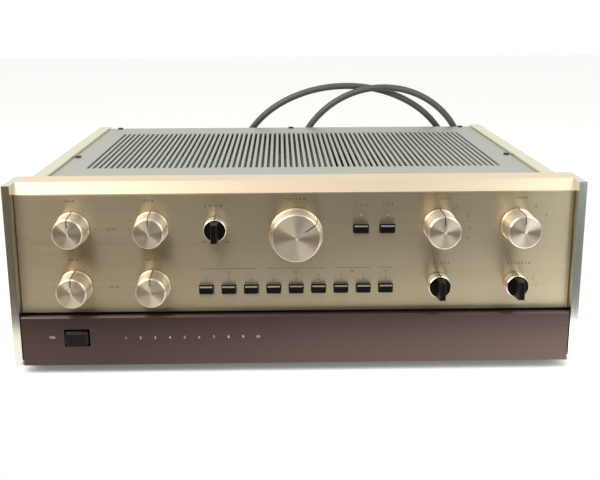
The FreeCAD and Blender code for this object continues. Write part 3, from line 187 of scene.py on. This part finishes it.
def colours(tree, factor, stops):
    """A ramp over (place, colour) stops."""
    ramp = tree.nodes.new("ShaderNodeValToRGB")
    elements = ramp.color_ramp.elements
    while len(elements) < len(stops):
        elements.new(0.5)
    for element, (place, colour) in zip(elements, stops):
        element.position = place
        element.color = (*colour, 1)
    tree.links.new(factor, ramp.inputs["Fac"])
    return ramp.outputs["Color"]


def varied(tree, factor, colour, darker, lighter):
    """The colour, from darker to lighter by the two factors."""
    stops = [(place, [channel * amount for channel in colour])
             for place, amount in ((0.3, darker), (0.7, lighter))]
    return colours(tree, factor, stops)


def mixed(tree, factor, first, second, blend="MIX"):
    """Two colours, each an output or a plain colour, mixed by an output or a number."""
    node = tree.nodes.new("ShaderNodeMix")
    node.data_type = "RGBA"
    node.blend_type = blend
    for name, value in (("Factor", factor), ("A", first), ("B", second)):
        if isinstance(value, tuple):
            node.inputs[name].default_value = (*value, 1)
        elif isinstance(value, (int, float)):
            node.inputs[name].default_value = value
        else:
            tree.links.new(value, node.inputs[name])
    return node.outputs["Result"]


def vector_maths(tree, operation, source, second=None):
    node = tree.nodes.new("ShaderNodeVectorMath")
    node.operation = operation
    if second:
        node.inputs[1].default_value = second
    tree.links.new(source, node.inputs[0])
    return node.outputs["Value" if operation == "LENGTH" else "Vector"]


def bump(tree, shader, height, strength):
    node = tree.nodes.new("ShaderNodeBump")
    node.inputs["Strength"].default_value = strength
    node.inputs["Distance"].default_value = BUMP_DEPTH
    tree.links.new(height, node.inputs["Height"])
    tree.links.new(node.outputs["Normal"], shader.inputs["Normal"])


def surface(tree, shader, tone, marks, roughness, unevenness, metallic):
    """Give the shader its colour, and a roughness that varies with the marks."""
    tree.links.new(tone, shader.inputs["Base Color"])
    uneven = ranged(tree, marks, roughness * (1 - unevenness), roughness * (1 + unevenness))
    tree.links.new(uneven, shader.inputs["Roughness"])
    shader.inputs["Metallic"].default_value = metallic


# Finishes: each of the three makers below gives a material
CLOUD = (9, 9, 9)
CLOUD_STOPS = [(0.3, (0.95, 0.955, 0.96)), (0.7, (1, 1, 1))]
BRUSH_RELIEF = 0.06
RING_FINENESS = 9000
METAL_UNEVENNESS, PLAIN_UNEVENNESS = 0.15, 0.08


def material(name):
    made = bpy.data.materials.new(name)
    made.use_nodes = True
    tree = made.node_tree
    return made, tree, tree.nodes["Principled BSDF"]


def brushed(name, colour, roughness, anisotropy, grain, across, spread):
    """Brushed metal: grain is the marks' fineness, across is the direction square to them."""
    made, tree, shader = material(name)
    marks = noise(tree, grain, 4.0, 0.6)
    cloud = noise(tree, CLOUD, 2.0)
    tone = varied(tree, marks, colour, 1 - spread, 1 + spread)
    tone = mixed(tree, 1, tone, colours(tree, cloud, CLOUD_STOPS), "MULTIPLY")
    surface(tree, shader, tone, marks, roughness, METAL_UNEVENNESS, 1)
    shader.inputs["Anisotropic"].default_value = anisotropy
    direction = tree.nodes.new("ShaderNodeCombineXYZ")
    for socket, value in zip(direction.inputs, across):
        socket.default_value = value
    tree.links.new(direction.outputs["Vector"], shader.inputs["Tangent"])
    bump(tree, shader, marks, BRUSH_RELIEF)
    return made


def plain(name, colour, roughness=0.5, metallic=0.0, grain=300, spread=0.06, relief=0.0):
    """An even finish with a fine, weak grain."""
    made, tree, shader = material(name)
    speckle = noise(tree, (grain,) * 3, 2.0)
    tone = varied(tree, speckle, colour, 1 - spread, 1 + spread)
    surface(tree, shader, tone, speckle, roughness, PLAIN_UNEVENNESS, metallic)
    if relief:
        bump(tree, shader, speckle, relief)
    return made


def turned(name, colour, roughness, anisotropy, centre):
    """Metal turned about an axis along Y through the centre: wedges of light spread outward."""
    made, tree, shader = material(name)
    coords = tree.nodes.new("ShaderNodeTexCoord")
    offset = vector_maths(tree, "SUBTRACT", coords.outputs["Object"], centre)
    flat = vector_maths(tree, "MULTIPLY", offset, (1, 0, 1))
    # Square to the turning marks: outward on the face, and along the axis on the side
    square = vector_maths(tree, "ADD", vector_maths(tree, "NORMALIZE", flat), (0, 1, 0))
    posed = tree.nodes.new("ShaderNodeVectorTransform")
    posed.vector_type = "VECTOR"
    posed.convert_from = "OBJECT"
    posed.convert_to = "WORLD"
    tree.links.new(square, posed.inputs["Vector"])
    tree.links.new(posed.outputs["Vector"], shader.inputs["Tangent"])
    rings = tree.nodes.new("ShaderNodeTexNoise")
    rings.noise_dimensions = "1D"
    rings.inputs["Scale"].default_value = RING_FINENESS
    rings.inputs["Detail"].default_value = 3
    tree.links.new(vector_maths(tree, "LENGTH", flat), rings.inputs["W"])
    tone = varied(tree, rings.outputs["Fac"], colour, 0.93, 1.05)
    surface(tree, shader, tone, rings.outputs["Fac"], roughness, METAL_UNEVENNESS, 1)
    shader.inputs["Anisotropic"].default_value = anisotropy
    return made


def clad(names, made, *others):
    """Give the pieces a finish; more finishes fill the next slots, for choose() below."""
    for name in names if isinstance(names, (list, tuple)) else [names]:
        slots = nodes[name].data.materials
        slots.clear()
        for item in (made, *others):
            slots.append(item)


def choose(name, test):
    """Set each face's slot from its middle and its normal, in millimetres."""
    mesh = nodes[name].data
    for face in mesh.polygons:
        face.material_index = test(face.center * 1000, face.normal)


# Brushed metals: marks along X on the front, along Y on the sides and upright on the cheeks.
# Colour, roughness, anisotropy, grain, across and the spread of the colour
gold_panel = brushed(
    "gold_panel", (0.472, 0.388, 0.268), 0.38, 0.85, (3, 40, 3600), (0, 0, 1), 0.05)
gold_trim = brushed(
    "gold_trim", (0.80, 0.66, 0.48), 0.38, 0.6, (3, 1500, 1500), (0, 0.7, 0.7), 0.04)
side_gold = brushed(
    "side_gold", (0.80, 0.76, 0.56), 0.42, 0.5, (1500, 3, 1500), (1, 0, 0.01), 0.04)
cheek_grey = brushed(
    "cheek_grey", (0.70, 0.67, 0.60), 0.22, 0.2, (1800, 1800, 4), (0.7, 0.7, 0), 0.06)
door_brown = brushed(
    "door_brown", (0.084, 0.056, 0.051), 0.30, 0.7, (3, 60, 2400), (0, 0, 1), 0.10)

# Even finishes: colour, roughness, metallic, grain, spread, relief
cover_grey = plain("cover_grey", (0.38, 0.38, 0.33), 0.46, 0.55, 1400, 0.08, 0.05)
black_steel = plain("black_steel", (0.018, 0.018, 0.019), 0.48, 0.3, 900)
steel = plain("steel", (0.42, 0.42, 0.41), 0.35, 1.0)
plated = plain("plated_steel", (0.74, 0.72, 0.64), 0.5, 0.2, 900)
zinc = plain("zinc", (0.52, 0.50, 0.44), 0.42, 1.0, 150, 0.12)
black_gloss = plain("black_gloss", (0.004, 0.0035, 0.0035), 0.30, 0.0, 500)
black_gloss.node_tree.nodes["Principled BSDF"].inputs["Specular IOR Level"].default_value = 0.15
black_matte = plain("black_matte", (0.016, 0.016, 0.016), 0.5)
# A lighter metal for the buttons' top bevel: a painted highlight
button_bevel_painted_highlight = plain("button_bevel_painted_highlight", (0.27, 0.26, 0.23), 0.32, 1.0, 90, 0.03)
slot_dark = plain("slot_dark", (0.045, 0.038, 0.032), 0.6)
rubber = plain("foot_rubber", (0.022, 0.021, 0.020), 0.7, 0.0, 700, relief=0.1)
socket_metal = plain("socket_metal", (0.66, 0.63, 0.56), 0.25, 1.0)
socket_white = plain("socket_white", (0.70, 0.69, 0.65), 0.45)
socket_red = plain("socket_red", (0.42, 0.03, 0.02), 0.42)
lens_pale = plain("lamp_lens", (0.22, 0.20, 0.15), 0.5)
board_green = plain("board_green", (0.035, 0.13, 0.055), 0.4)
sleeve_blue = plain("capacitor_sleeve", (0.03, 0.045, 0.12), 0.35)
core_iron = plain("core_iron", (0.13, 0.125, 0.12), 0.45, 0.8, 900)
coil_tape = plain("coil_tape", (0.50, 0.36, 0.10), 0.4)
cord_black = plain("cord_black", (0.070, 0.072, 0.065), 0.36, 0.0, 900)
pin_steel = plain("pin_steel", (0.55, 0.54, 0.52), 0.25, 1.0)
ink = plain("ink", (0.045, 0.036, 0.024), 0.6)
pale_ink = plain("pale_ink", (0.42, 0.38, 0.33), 0.6)

clad("front_panel", gold_panel)
clad("top_rail", gold_trim)
clad(["left_cheek", "right_cheek"], cheek_grey)
clad("sub_panel_door", door_brown)
clad(["left_side_panel", "right_side_panel"], side_gold)
clad("top_cover", cover_grey)
clad(["cover_screws", "case_screws"], black_steel)
clad(["sub_panel_tray", "door_magnet"], black_matte)
clad("door_hinge_pins", pin_steel)
clad("power_button", black_gloss)
clad(["push_switches", "power_switch", "fuse_holder", "mains_outlets", "cord_relief"], black_matte)
clad("rotary_controls", zinc)
clad("indicator_lamps", lens_pale)
clad("headphone_jack", steel)
clad("feet", rubber)
clad("jack_barrels", socket_metal)
clad("ground_post", socket_metal)
clad("filter_capacitors", sleeve_blue)
lead.data.materials.append(cord_black)

# The chassis is plated on its inner faces
clad(["front_chassis", "rear_panel", "bottom_plate"], black_steel, plated)
choose("front_chassis", lambda middle, normal: 1 if normal.y > 0.5 else 0)
choose("rear_panel", lambda middle, normal: 1 if normal.y < -0.5 else 0)
choose("bottom_plate", lambda middle, normal: 1 if normal.z > 0.5 else 0)

# The buttons' bevel between top and face gets a lighter metal: a painted highlight where light from
# above would catch it
for name in nodes:
    if name.startswith(("push_button_", "upper_button_")):
        clad(name, black_gloss, button_bevel_painted_highlight)
        choose(name, lambda middle, normal: 1 if normal.z > 0.6 and normal.y < -0.6 else 0)

# Two-coloured pieces, split at a height or a place in millimetres
SOCKET_MIDDLE = 72
COIL_HEIGHT, COIL_HALF = 45.5, 21.01
CORE_FRONT, CORE_BACK = 27.5, 63.7
BOARD_TOP = 24.2
BLADE_ROOT = -174.01


def on_coil(middle):
    return abs(middle.z - COIL_HEIGHT) < COIL_HALF and not CORE_FRONT < middle.y < CORE_BACK


clad("jack_insulators", socket_white, socket_red)
choose("jack_insulators", lambda middle, normal: 1 if middle.z < SOCKET_MIDDLE else 0)
clad("power_transformer", core_iron, coil_tape)
choose("power_transformer", lambda middle, normal: 1 if on_coil(middle) else 0)
clad("main_board", board_green, black_matte)
choose("main_board", lambda middle, normal: 1 if middle.z > BOARD_TOP else 0)
clad("mains_plug", cord_black, pin_steel)
choose("mains_plug", lambda middle, normal: 1 if middle.x < BLADE_ROOT else 0)

# Knobs, in millimetres: metal turned about each one's own axis, dark index lines, steel shafts
SILVER = (0.74, 0.63, 0.49)
SLEEVE_SILVER = (0.72, 0.66, 0.55)
OUTER, INNER = 172.0, 111.5
HIGH_ROW, LOW_ROW, VOLUME_ROW, LEVEL_ROW = 117.0, 70.4, 111.0, 27
TONE_FACE, SELECTOR_FACE, VOLUME_FACE, LEVEL_FACE = 11.7, 12.7, 18.8, 6.4
VOLUME_ANGLE = math.radians(55)
SHAFT_RADIUS = 3.01
# An index line's half width, and where it starts: a share of a face's radius, or from a drum's axis
LINE_HALF = 0.41
LINE_START = 0.44
DRUM_LINE = 8.3
# Each knob's middle on the panel, and a turned one's face radius
turned_knobs = {
    "treble_left_knob": (-OUTER, HIGH_ROW, TONE_FACE),
    "treble_right_knob": (-INNER, HIGH_ROW, TONE_FACE),
    "bass_left_knob": (-OUTER, LOW_ROW, TONE_FACE),
    "bass_right_knob": (-INNER, LOW_ROW, TONE_FACE),
    "mode_knob": (INNER, HIGH_ROW, SELECTOR_FACE),
    "input_knob": (OUTER, HIGH_ROW, SELECTOR_FACE),
    "volume_knob": (0, VOLUME_ROW, VOLUME_FACE),
    "level_knob_left": (-75, LEVEL_ROW, LEVEL_FACE),
    "level_knob_right": (-45, LEVEL_ROW, LEVEL_FACE),
}
pointer_knobs = {
    "filter": (-62, HIGH_ROW), "monitor": (INNER, LOW_ROW), "loudness": (OUTER, LOW_ROW),
}


def line_or_shaft(x, z, angle, nearest):
    """A test for choose(): 1 on the index line that starts at nearest, 2 on the shaft."""
    def test(middle, normal):
        away, rise = middle.x - x, middle.z - z
        along = away * math.sin(angle) + rise * math.cos(angle)
        across = away * math.cos(angle) - rise * math.sin(angle)
        if along > nearest and abs(across) < LINE_HALF:
            return 1
        return 2 if math.hypot(away, rise) < SHAFT_RADIUS and abs(normal.y) < 0.5 else 0
    return test


for name, (x, z, face_radius) in turned_knobs.items():
    metal = turned(name + "_metal", SILVER, 0.36, 0.93, (x / 1000, 0, z / 1000))
    clad(name, metal, slot_dark, steel)
    angle = VOLUME_ANGLE if name == "volume_knob" else 0
    choose(name, line_or_shaft(x, z, angle, LINE_START * face_radius))
for name, (x, z) in pointer_knobs.items():
    metal = turned(name + "_sleeve_metal", SLEEVE_SILVER, 0.30, 0.8, (x / 1000, 0, z / 1000))
    clad(name + "_knob_skirt", metal, slot_dark)
    choose(name + "_knob_skirt", line_or_shaft(x, z, 0, DRUM_LINE))
    clad(name + "_pointer_knob", black_gloss)


# Printed marks: plain numbers, dots and short rules, as one thin sheet on each face
def word_mesh(words, height):
    letters = bpy.data.curves.new("words", "FONT")
    letters.body = words
    letters.size = 1.4 * height
    letters.align_x = "CENTER"
    letters.align_y = "CENTER"
    letters.resolution_u = 2
    letters.offset = 0.02 * height
    holder = bpy.data.objects.new("words", letters)
    mesh = bpy.data.meshes.new_from_object(holder)
    bpy.data.objects.remove(holder)
    return mesh


def printed(name, made, body, face, words, bars):
    """Words are (text, x, z, height) and bars are (x, z, width, height), in millimetres."""
    upright = Matrix.Rotation(math.pi / 2, 4, "X")
    sheet = bmesh.new()
    for text, x, z, height in words:
        mesh = word_mesh(text, height / 1000)
        mesh.transform(Matrix.Translation((x / 1000, face, z / 1000)) @ upright)
        sheet.from_mesh(mesh)
    for x, z, width, height in bars:
        left, right = (x - width / 2) / 1000, (x + width / 2) / 1000
        low, high = (z - height / 2) / 1000, (z + height / 2) / 1000
        corners = [(left, low), (right, low), (right, high), (left, high)]
        sheet.faces.new([sheet.verts.new((across, face, up)) for across, up in corners])
    data = bpy.data.meshes.new(name)
    sheet.to_mesh(data)
    sheet.free()
    data.materials.append(made)
    piece = bpy.data.objects.new(name, data)
    scene.collection.objects.link(piece)
    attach(piece, body)


def dot(x, z, radius, angle):
    """A dot on a knob's scale, at an angle clockwise from the top."""
    return (x + radius * math.sin(angle), z + radius * math.cos(angle), DOT, DOT)


def numbered(x, z, offsets, height):
    """The numbers from 1, at offsets from a knob's middle."""
    return [
        (str(number), x + away, z + rise, height)
        for number, (away, rise) in enumerate(offsets, start=1)
    ]


PRINT_LIFT = 0.00003
SMALL, TINY = 1.9, 1.5
RULE, DOT = 0.25, 0.5
TONE_SCALE, TONE_END = 16.8, math.radians(140.4)
VOLUME_SCALE, VOLUME_END, VOLUME_STEP = 24.2, -150, 30
MODE_PLACES = [(13.4, 14.4), (21.6, 7.2), (23.6, -2.3), (22.6, -10.4)]
INPUT_PLACES = [(-19.5, -3.3), (13.9, 13.9), (22.4, 7.1)]
LOUDNESS_PLACES = [(10.2, 8.2), (14.8, 3.3), (17.4, -2.5)]
words, bars = [], []
for name in ("treble_left_knob", "treble_right_knob", "bass_left_knob", "bass_right_knob"):
    x, z = turned_knobs[name][:2]
    words.append(("-5 0 +5", x - 1.5, z + 21.3, SMALL))
    for way in (-1, 1):
        bars.append((x + way * 17.2, z - 0.9, 1.6, RULE))
        bars += [dot(x, z, TONE_SCALE, way * share * TONE_END) for share in (0.25, 0.5, 0.75)]
for z in (HIGH_ROW, LOW_ROW):
    words.append(("-10  +10", -(OUTER + INNER) / 2 - 0.8, z - 0.9, TINY))
words.append(("0  2  4  6  8  10", -0.4, VOLUME_ROW + 27.7, SMALL))
for step in range(11):
    bars.append(dot(0, VOLUME_ROW, VOLUME_SCALE, math.radians(VOLUME_END + VOLUME_STEP * step)))
for x, shift in ((INNER, 2.7), (OUTER, 2.1)):
    words.append(("1 2 3 4 5", x + shift, HIGH_ROW + 21.4, SMALL))
words += numbered(INNER, HIGH_ROW, MODE_PLACES, SMALL)
words += numbered(OUTER, HIGH_ROW, INPUT_PLACES, SMALL)
words.append(("0  18  24  30", -63.2, HIGH_ROW + 16.9, SMALL))
words += [("OFF", -71.8, HIGH_ROW - 11.6, TINY), ("ON", -53.6, HIGH_ROW - 11.8, TINY)]
words.append(("0  1  2  3  4", INNER + 2.5, LOW_ROW + 16.2, SMALL))
words.append(("0  1  2  3  4  5  6", OUTER + 2.6, LOW_ROW + 15.7, SMALL))
words += numbered(OUTER, LOW_ROW, LOUDNESS_PLACES, TINY)

# Marks over the two upper buttons, and over the row of nine with its rules in groups
UPPER_FIRST, UPPER_PITCH = 50.5, 20.4
UPPER_WORDS, UPPER_LAMP_WORDS = 133.6, 122.5
BUTTON_PITCH = 17.6
BUTTON_NUMBERS, BUTTON_TICKS, GROUP_WORDS, GROUP_RULES = 74.3, 77.6, 80.6, 83.6
for index in range(2):
    x = UPPER_FIRST + index * UPPER_PITCH
    words += [("1   2   3", x, UPPER_WORDS, SMALL), ("ON", x, UPPER_LAMP_WORDS, TINY)]
for index in range(9):
    x = (index - 4) * BUTTON_PITCH
    words.append((str(index + 1), x, BUTTON_NUMBERS, SMALL))
    bars.append((x, BUTTON_TICKS, RULE, 2.2))
for first, last in ((0, 2), (3, 5), (6, 7), (8, 8)):
    left, right = (first - 4.3) * BUTTON_PITCH, (last - 3.7) * BUTTON_PITCH
    bars.append(((left + right) / 2, GROUP_RULES, right - left, RULE))
    label = "%d-%d" % (first + 1, last + 1) if last > first else "0-1"
    words.append((label, (left + right) / 2, GROUP_WORDS, TINY))
printed("panel_marks", ink, "chassis", PANEL - PRINT_LIFT, words, bars)

# Marks on the door: ON beside the power button, and a row of ten numbers
DOOR_WORDS, DOOR_FIRST, DOOR_PITCH = 30.2, -134, 11.5
door_words = [("ON", -191.5, DOOR_WORDS + 1, 2.0)]
for index in range(10):
    door_words.append((str(index + 1), DOOR_FIRST + index * DOOR_PITCH, DOOR_WORDS, 2.2))
printed("door_marks", pale_ink, "door", DOOR_FACE - PRINT_LIFT, door_words, [])

# Floor: it starts just before the case, because the door and the cheeks mirror only that much
FLOOR_EDGE = DOOR_FACE - 0.11
FLOOR_REACH = 4
FLOOR_WHITE = (0.88, 0.88, 0.88)
FLOOR_LIFT = 0.15
# A soft glowing strip of it before the door, rising to the right: a painted pool of light for the
# door to mirror, which also lights the case
STRIP_STRENGTH = 2.0
STRIP_LEFT, STRIP_FULL, STRIP_RIGHT = -0.15, 0.26, 0.38
STRIP_FRONT, STRIP_BACK = DOOR_FACE - 0.01, DOOR_FACE + 0.02


def floor_finish():
    """White, lifted a little for the camera; for other rays it glows in the strip before the door,
    a painted pool of light; and clear when seen from below.
    """
    made = plain("floor_white", FLOOR_WHITE, 0.75, 0.0, 40, 0.01)
    tree = made.node_tree
    shader = tree.nodes["Principled BSDF"]
    shader.inputs["Specular IOR Level"].default_value = 0.1
    shader.inputs["Emission Color"].default_value = (1, 1, 1, 1)
    coords = tree.nodes.new("ShaderNodeTexCoord")
    place = tree.nodes.new("ShaderNodeSeparateXYZ")
    tree.links.new(coords.outputs["Object"], place.inputs["Vector"])
    # The glowing strip, a painted pool of light: strongest right of the middle, only before the
    # door
    rising = ranged(tree, place.outputs["X"], 0, STRIP_STRENGTH, STRIP_LEFT, STRIP_FULL)
    ending = ranged(tree, place.outputs["X"], 1, 0, STRIP_FULL, STRIP_RIGHT)
    before_door = ranged(tree, place.outputs["Y"], 1, 0, STRIP_FRONT, STRIP_BACK)
    strip = combined(tree, "MULTIPLY", ending, before_door, clamp=False)
    strip = combined(tree, "MULTIPLY", rising, strip, clamp=False)
    path = tree.nodes.new("ShaderNodeLightPath")
    lift = tree.nodes.new("ShaderNodeMapRange")
    lift.inputs["To Max"].default_value = FLOOR_LIFT
    tree.links.new(strip, lift.inputs["To Min"])
    tree.links.new(path.outputs["Is Camera Ray"], lift.inputs["Value"])
    tree.links.new(lift.outputs["Result"], shader.inputs["Emission Strength"])
    geometry = tree.nodes.new("ShaderNodeNewGeometry")
    clear = tree.nodes.new("ShaderNodeBsdfTransparent")
    sides = tree.nodes.new("ShaderNodeMixShader")
    tree.links.new(geometry.outputs["Backfacing"], sides.inputs["Fac"])
    tree.links.new(shader.outputs["BSDF"], sides.inputs[1])
    tree.links.new(clear.outputs["BSDF"], sides.inputs[2])
    tree.links.new(sides.outputs["Shader"], tree.nodes["Material Output"].inputs["Surface"])
    return made


floor_data = bpy.data.meshes.new("floor")
floor_corners = [
    (-FLOOR_REACH, FLOOR_EDGE, 0), (FLOOR_REACH, FLOOR_EDGE, 0),
    (FLOOR_REACH, FLOOR_REACH, 0), (-FLOOR_REACH, FLOOR_REACH, 0),
]
floor_data.from_pydata(floor_corners, [], [(0, 1, 2, 3)])
floor_data.materials.append(floor_finish())
floor = bpy.data.objects.new("floor", floor_data)
scene.collection.objects.link(floor)


# Lamps
def soft_light(name, place, aim, width, height, power, colour):
    data = bpy.data.lights.new(name, "AREA")
    data.shape = "RECTANGLE"
    data.size = width
    data.size_y = height
    data.energy = power
    data.color = colour
    light = bpy.data.objects.new(name, data)
    light.location = place
    light.rotation_mode = "QUATERNION"
    light.rotation_quaternion = (Vector(aim) - Vector(place)).to_track_quat("-Z", "Y")
    scene.collection.objects.link(light)


FRONT_MIDDLE = (0, -0.15, 0.1)
RIGHT_KNOBS = (0.20, -0.16, 0.09)
soft_light("top_light", (-0.45, -0.68, 0.80), FRONT_MIDDLE, 0.85, 0.45, 5.0, (1.0, 1.0, 0.95))
soft_light("left_light", (-0.95, -0.70, 0.66), FRONT_MIDDLE, 0.70, 0.50, 7.3, (1.0, 0.96, 0.86))
soft_light("right_light", (0.50, -0.50, 0.34), RIGHT_KNOBS, 0.40, 0.64, 2.6, (0.92, 1.0, 0.99))

# The room from left to right as the front faces it, white behind and overhead
ROOM = [
    (-0.60, (0.36, 0.30, 0.19)),
    (-0.30, (0.17, 0.15, 0.11)),
    (-0.15, (0.05, 0.05, 0.04)),
    (0.00, (0.20, 0.22, 0.20)),
    (0.12, (0.13, 0.16, 0.14)),
    (0.22, (0.04, 0.04, 0.04)),
    (0.32, (0.34, 0.42, 0.42)),
    (0.60, (0.30, 0.31, 0.29)),
]
BEHIND = (1.0, 1.0, 1.0)
OVERHEAD = (1.0, 0.99, 0.97)


def make_room():
    world = bpy.data.worlds.new("room")
    scene.world = world
    world.use_nodes = True
    tree = world.node_tree
    tree.nodes.clear()
    coords = tree.nodes.new("ShaderNodeTexCoord")
    parts = tree.nodes.new("ShaderNodeSeparateXYZ")
    tree.links.new(coords.outputs["Generated"], parts.inputs["Vector"])
    leftmost, rightmost = ROOM[0][0], ROOM[-1][0]
    stops = [((place - leftmost) / (rightmost - leftmost), colour) for place, colour in ROOM]
    walls = colours(tree, ranged(tree, parts.outputs["X"], 0, 1, leftmost, rightmost), stops)
    backward = eased(tree, parts.outputs["Y"], -0.3, 0.2)
    upward = eased(tree, parts.outputs["Z"], 0.2, 0.8)
    room = tree.nodes.new("ShaderNodeBackground")
    all_round = mixed(tree, upward, mixed(tree, backward, walls, BEHIND), OVERHEAD)
    tree.links.new(all_round, room.inputs["Color"])

    # The camera sees a white backdrop, and so do mirrored and refracted rays that go backward
    backdrop = tree.nodes.new("ShaderNodeBackground")
    backdrop.inputs["Color"].default_value = (1, 1, 1, 1)
    path = tree.nodes.new("ShaderNodeLightPath").outputs
    mirrored = combined(tree, "ADD", path["Is Glossy Ray"], path["Is Transmission Ray"])
    mirrored = combined(tree, "MULTIPLY", mirrored, backward)
    white = combined(tree, "ADD", path["Is Camera Ray"], mirrored)
    choice = tree.nodes.new("ShaderNodeMixShader")
    tree.links.new(white, choice.inputs["Fac"])
    tree.links.new(room.outputs["Background"], choice.inputs[1])
    tree.links.new(backdrop.outputs["Background"], choice.inputs[2])
    output = tree.nodes.new("ShaderNodeOutputWorld")
    tree.links.new(choice.outputs["Shader"], output.inputs["Surface"])


make_room()
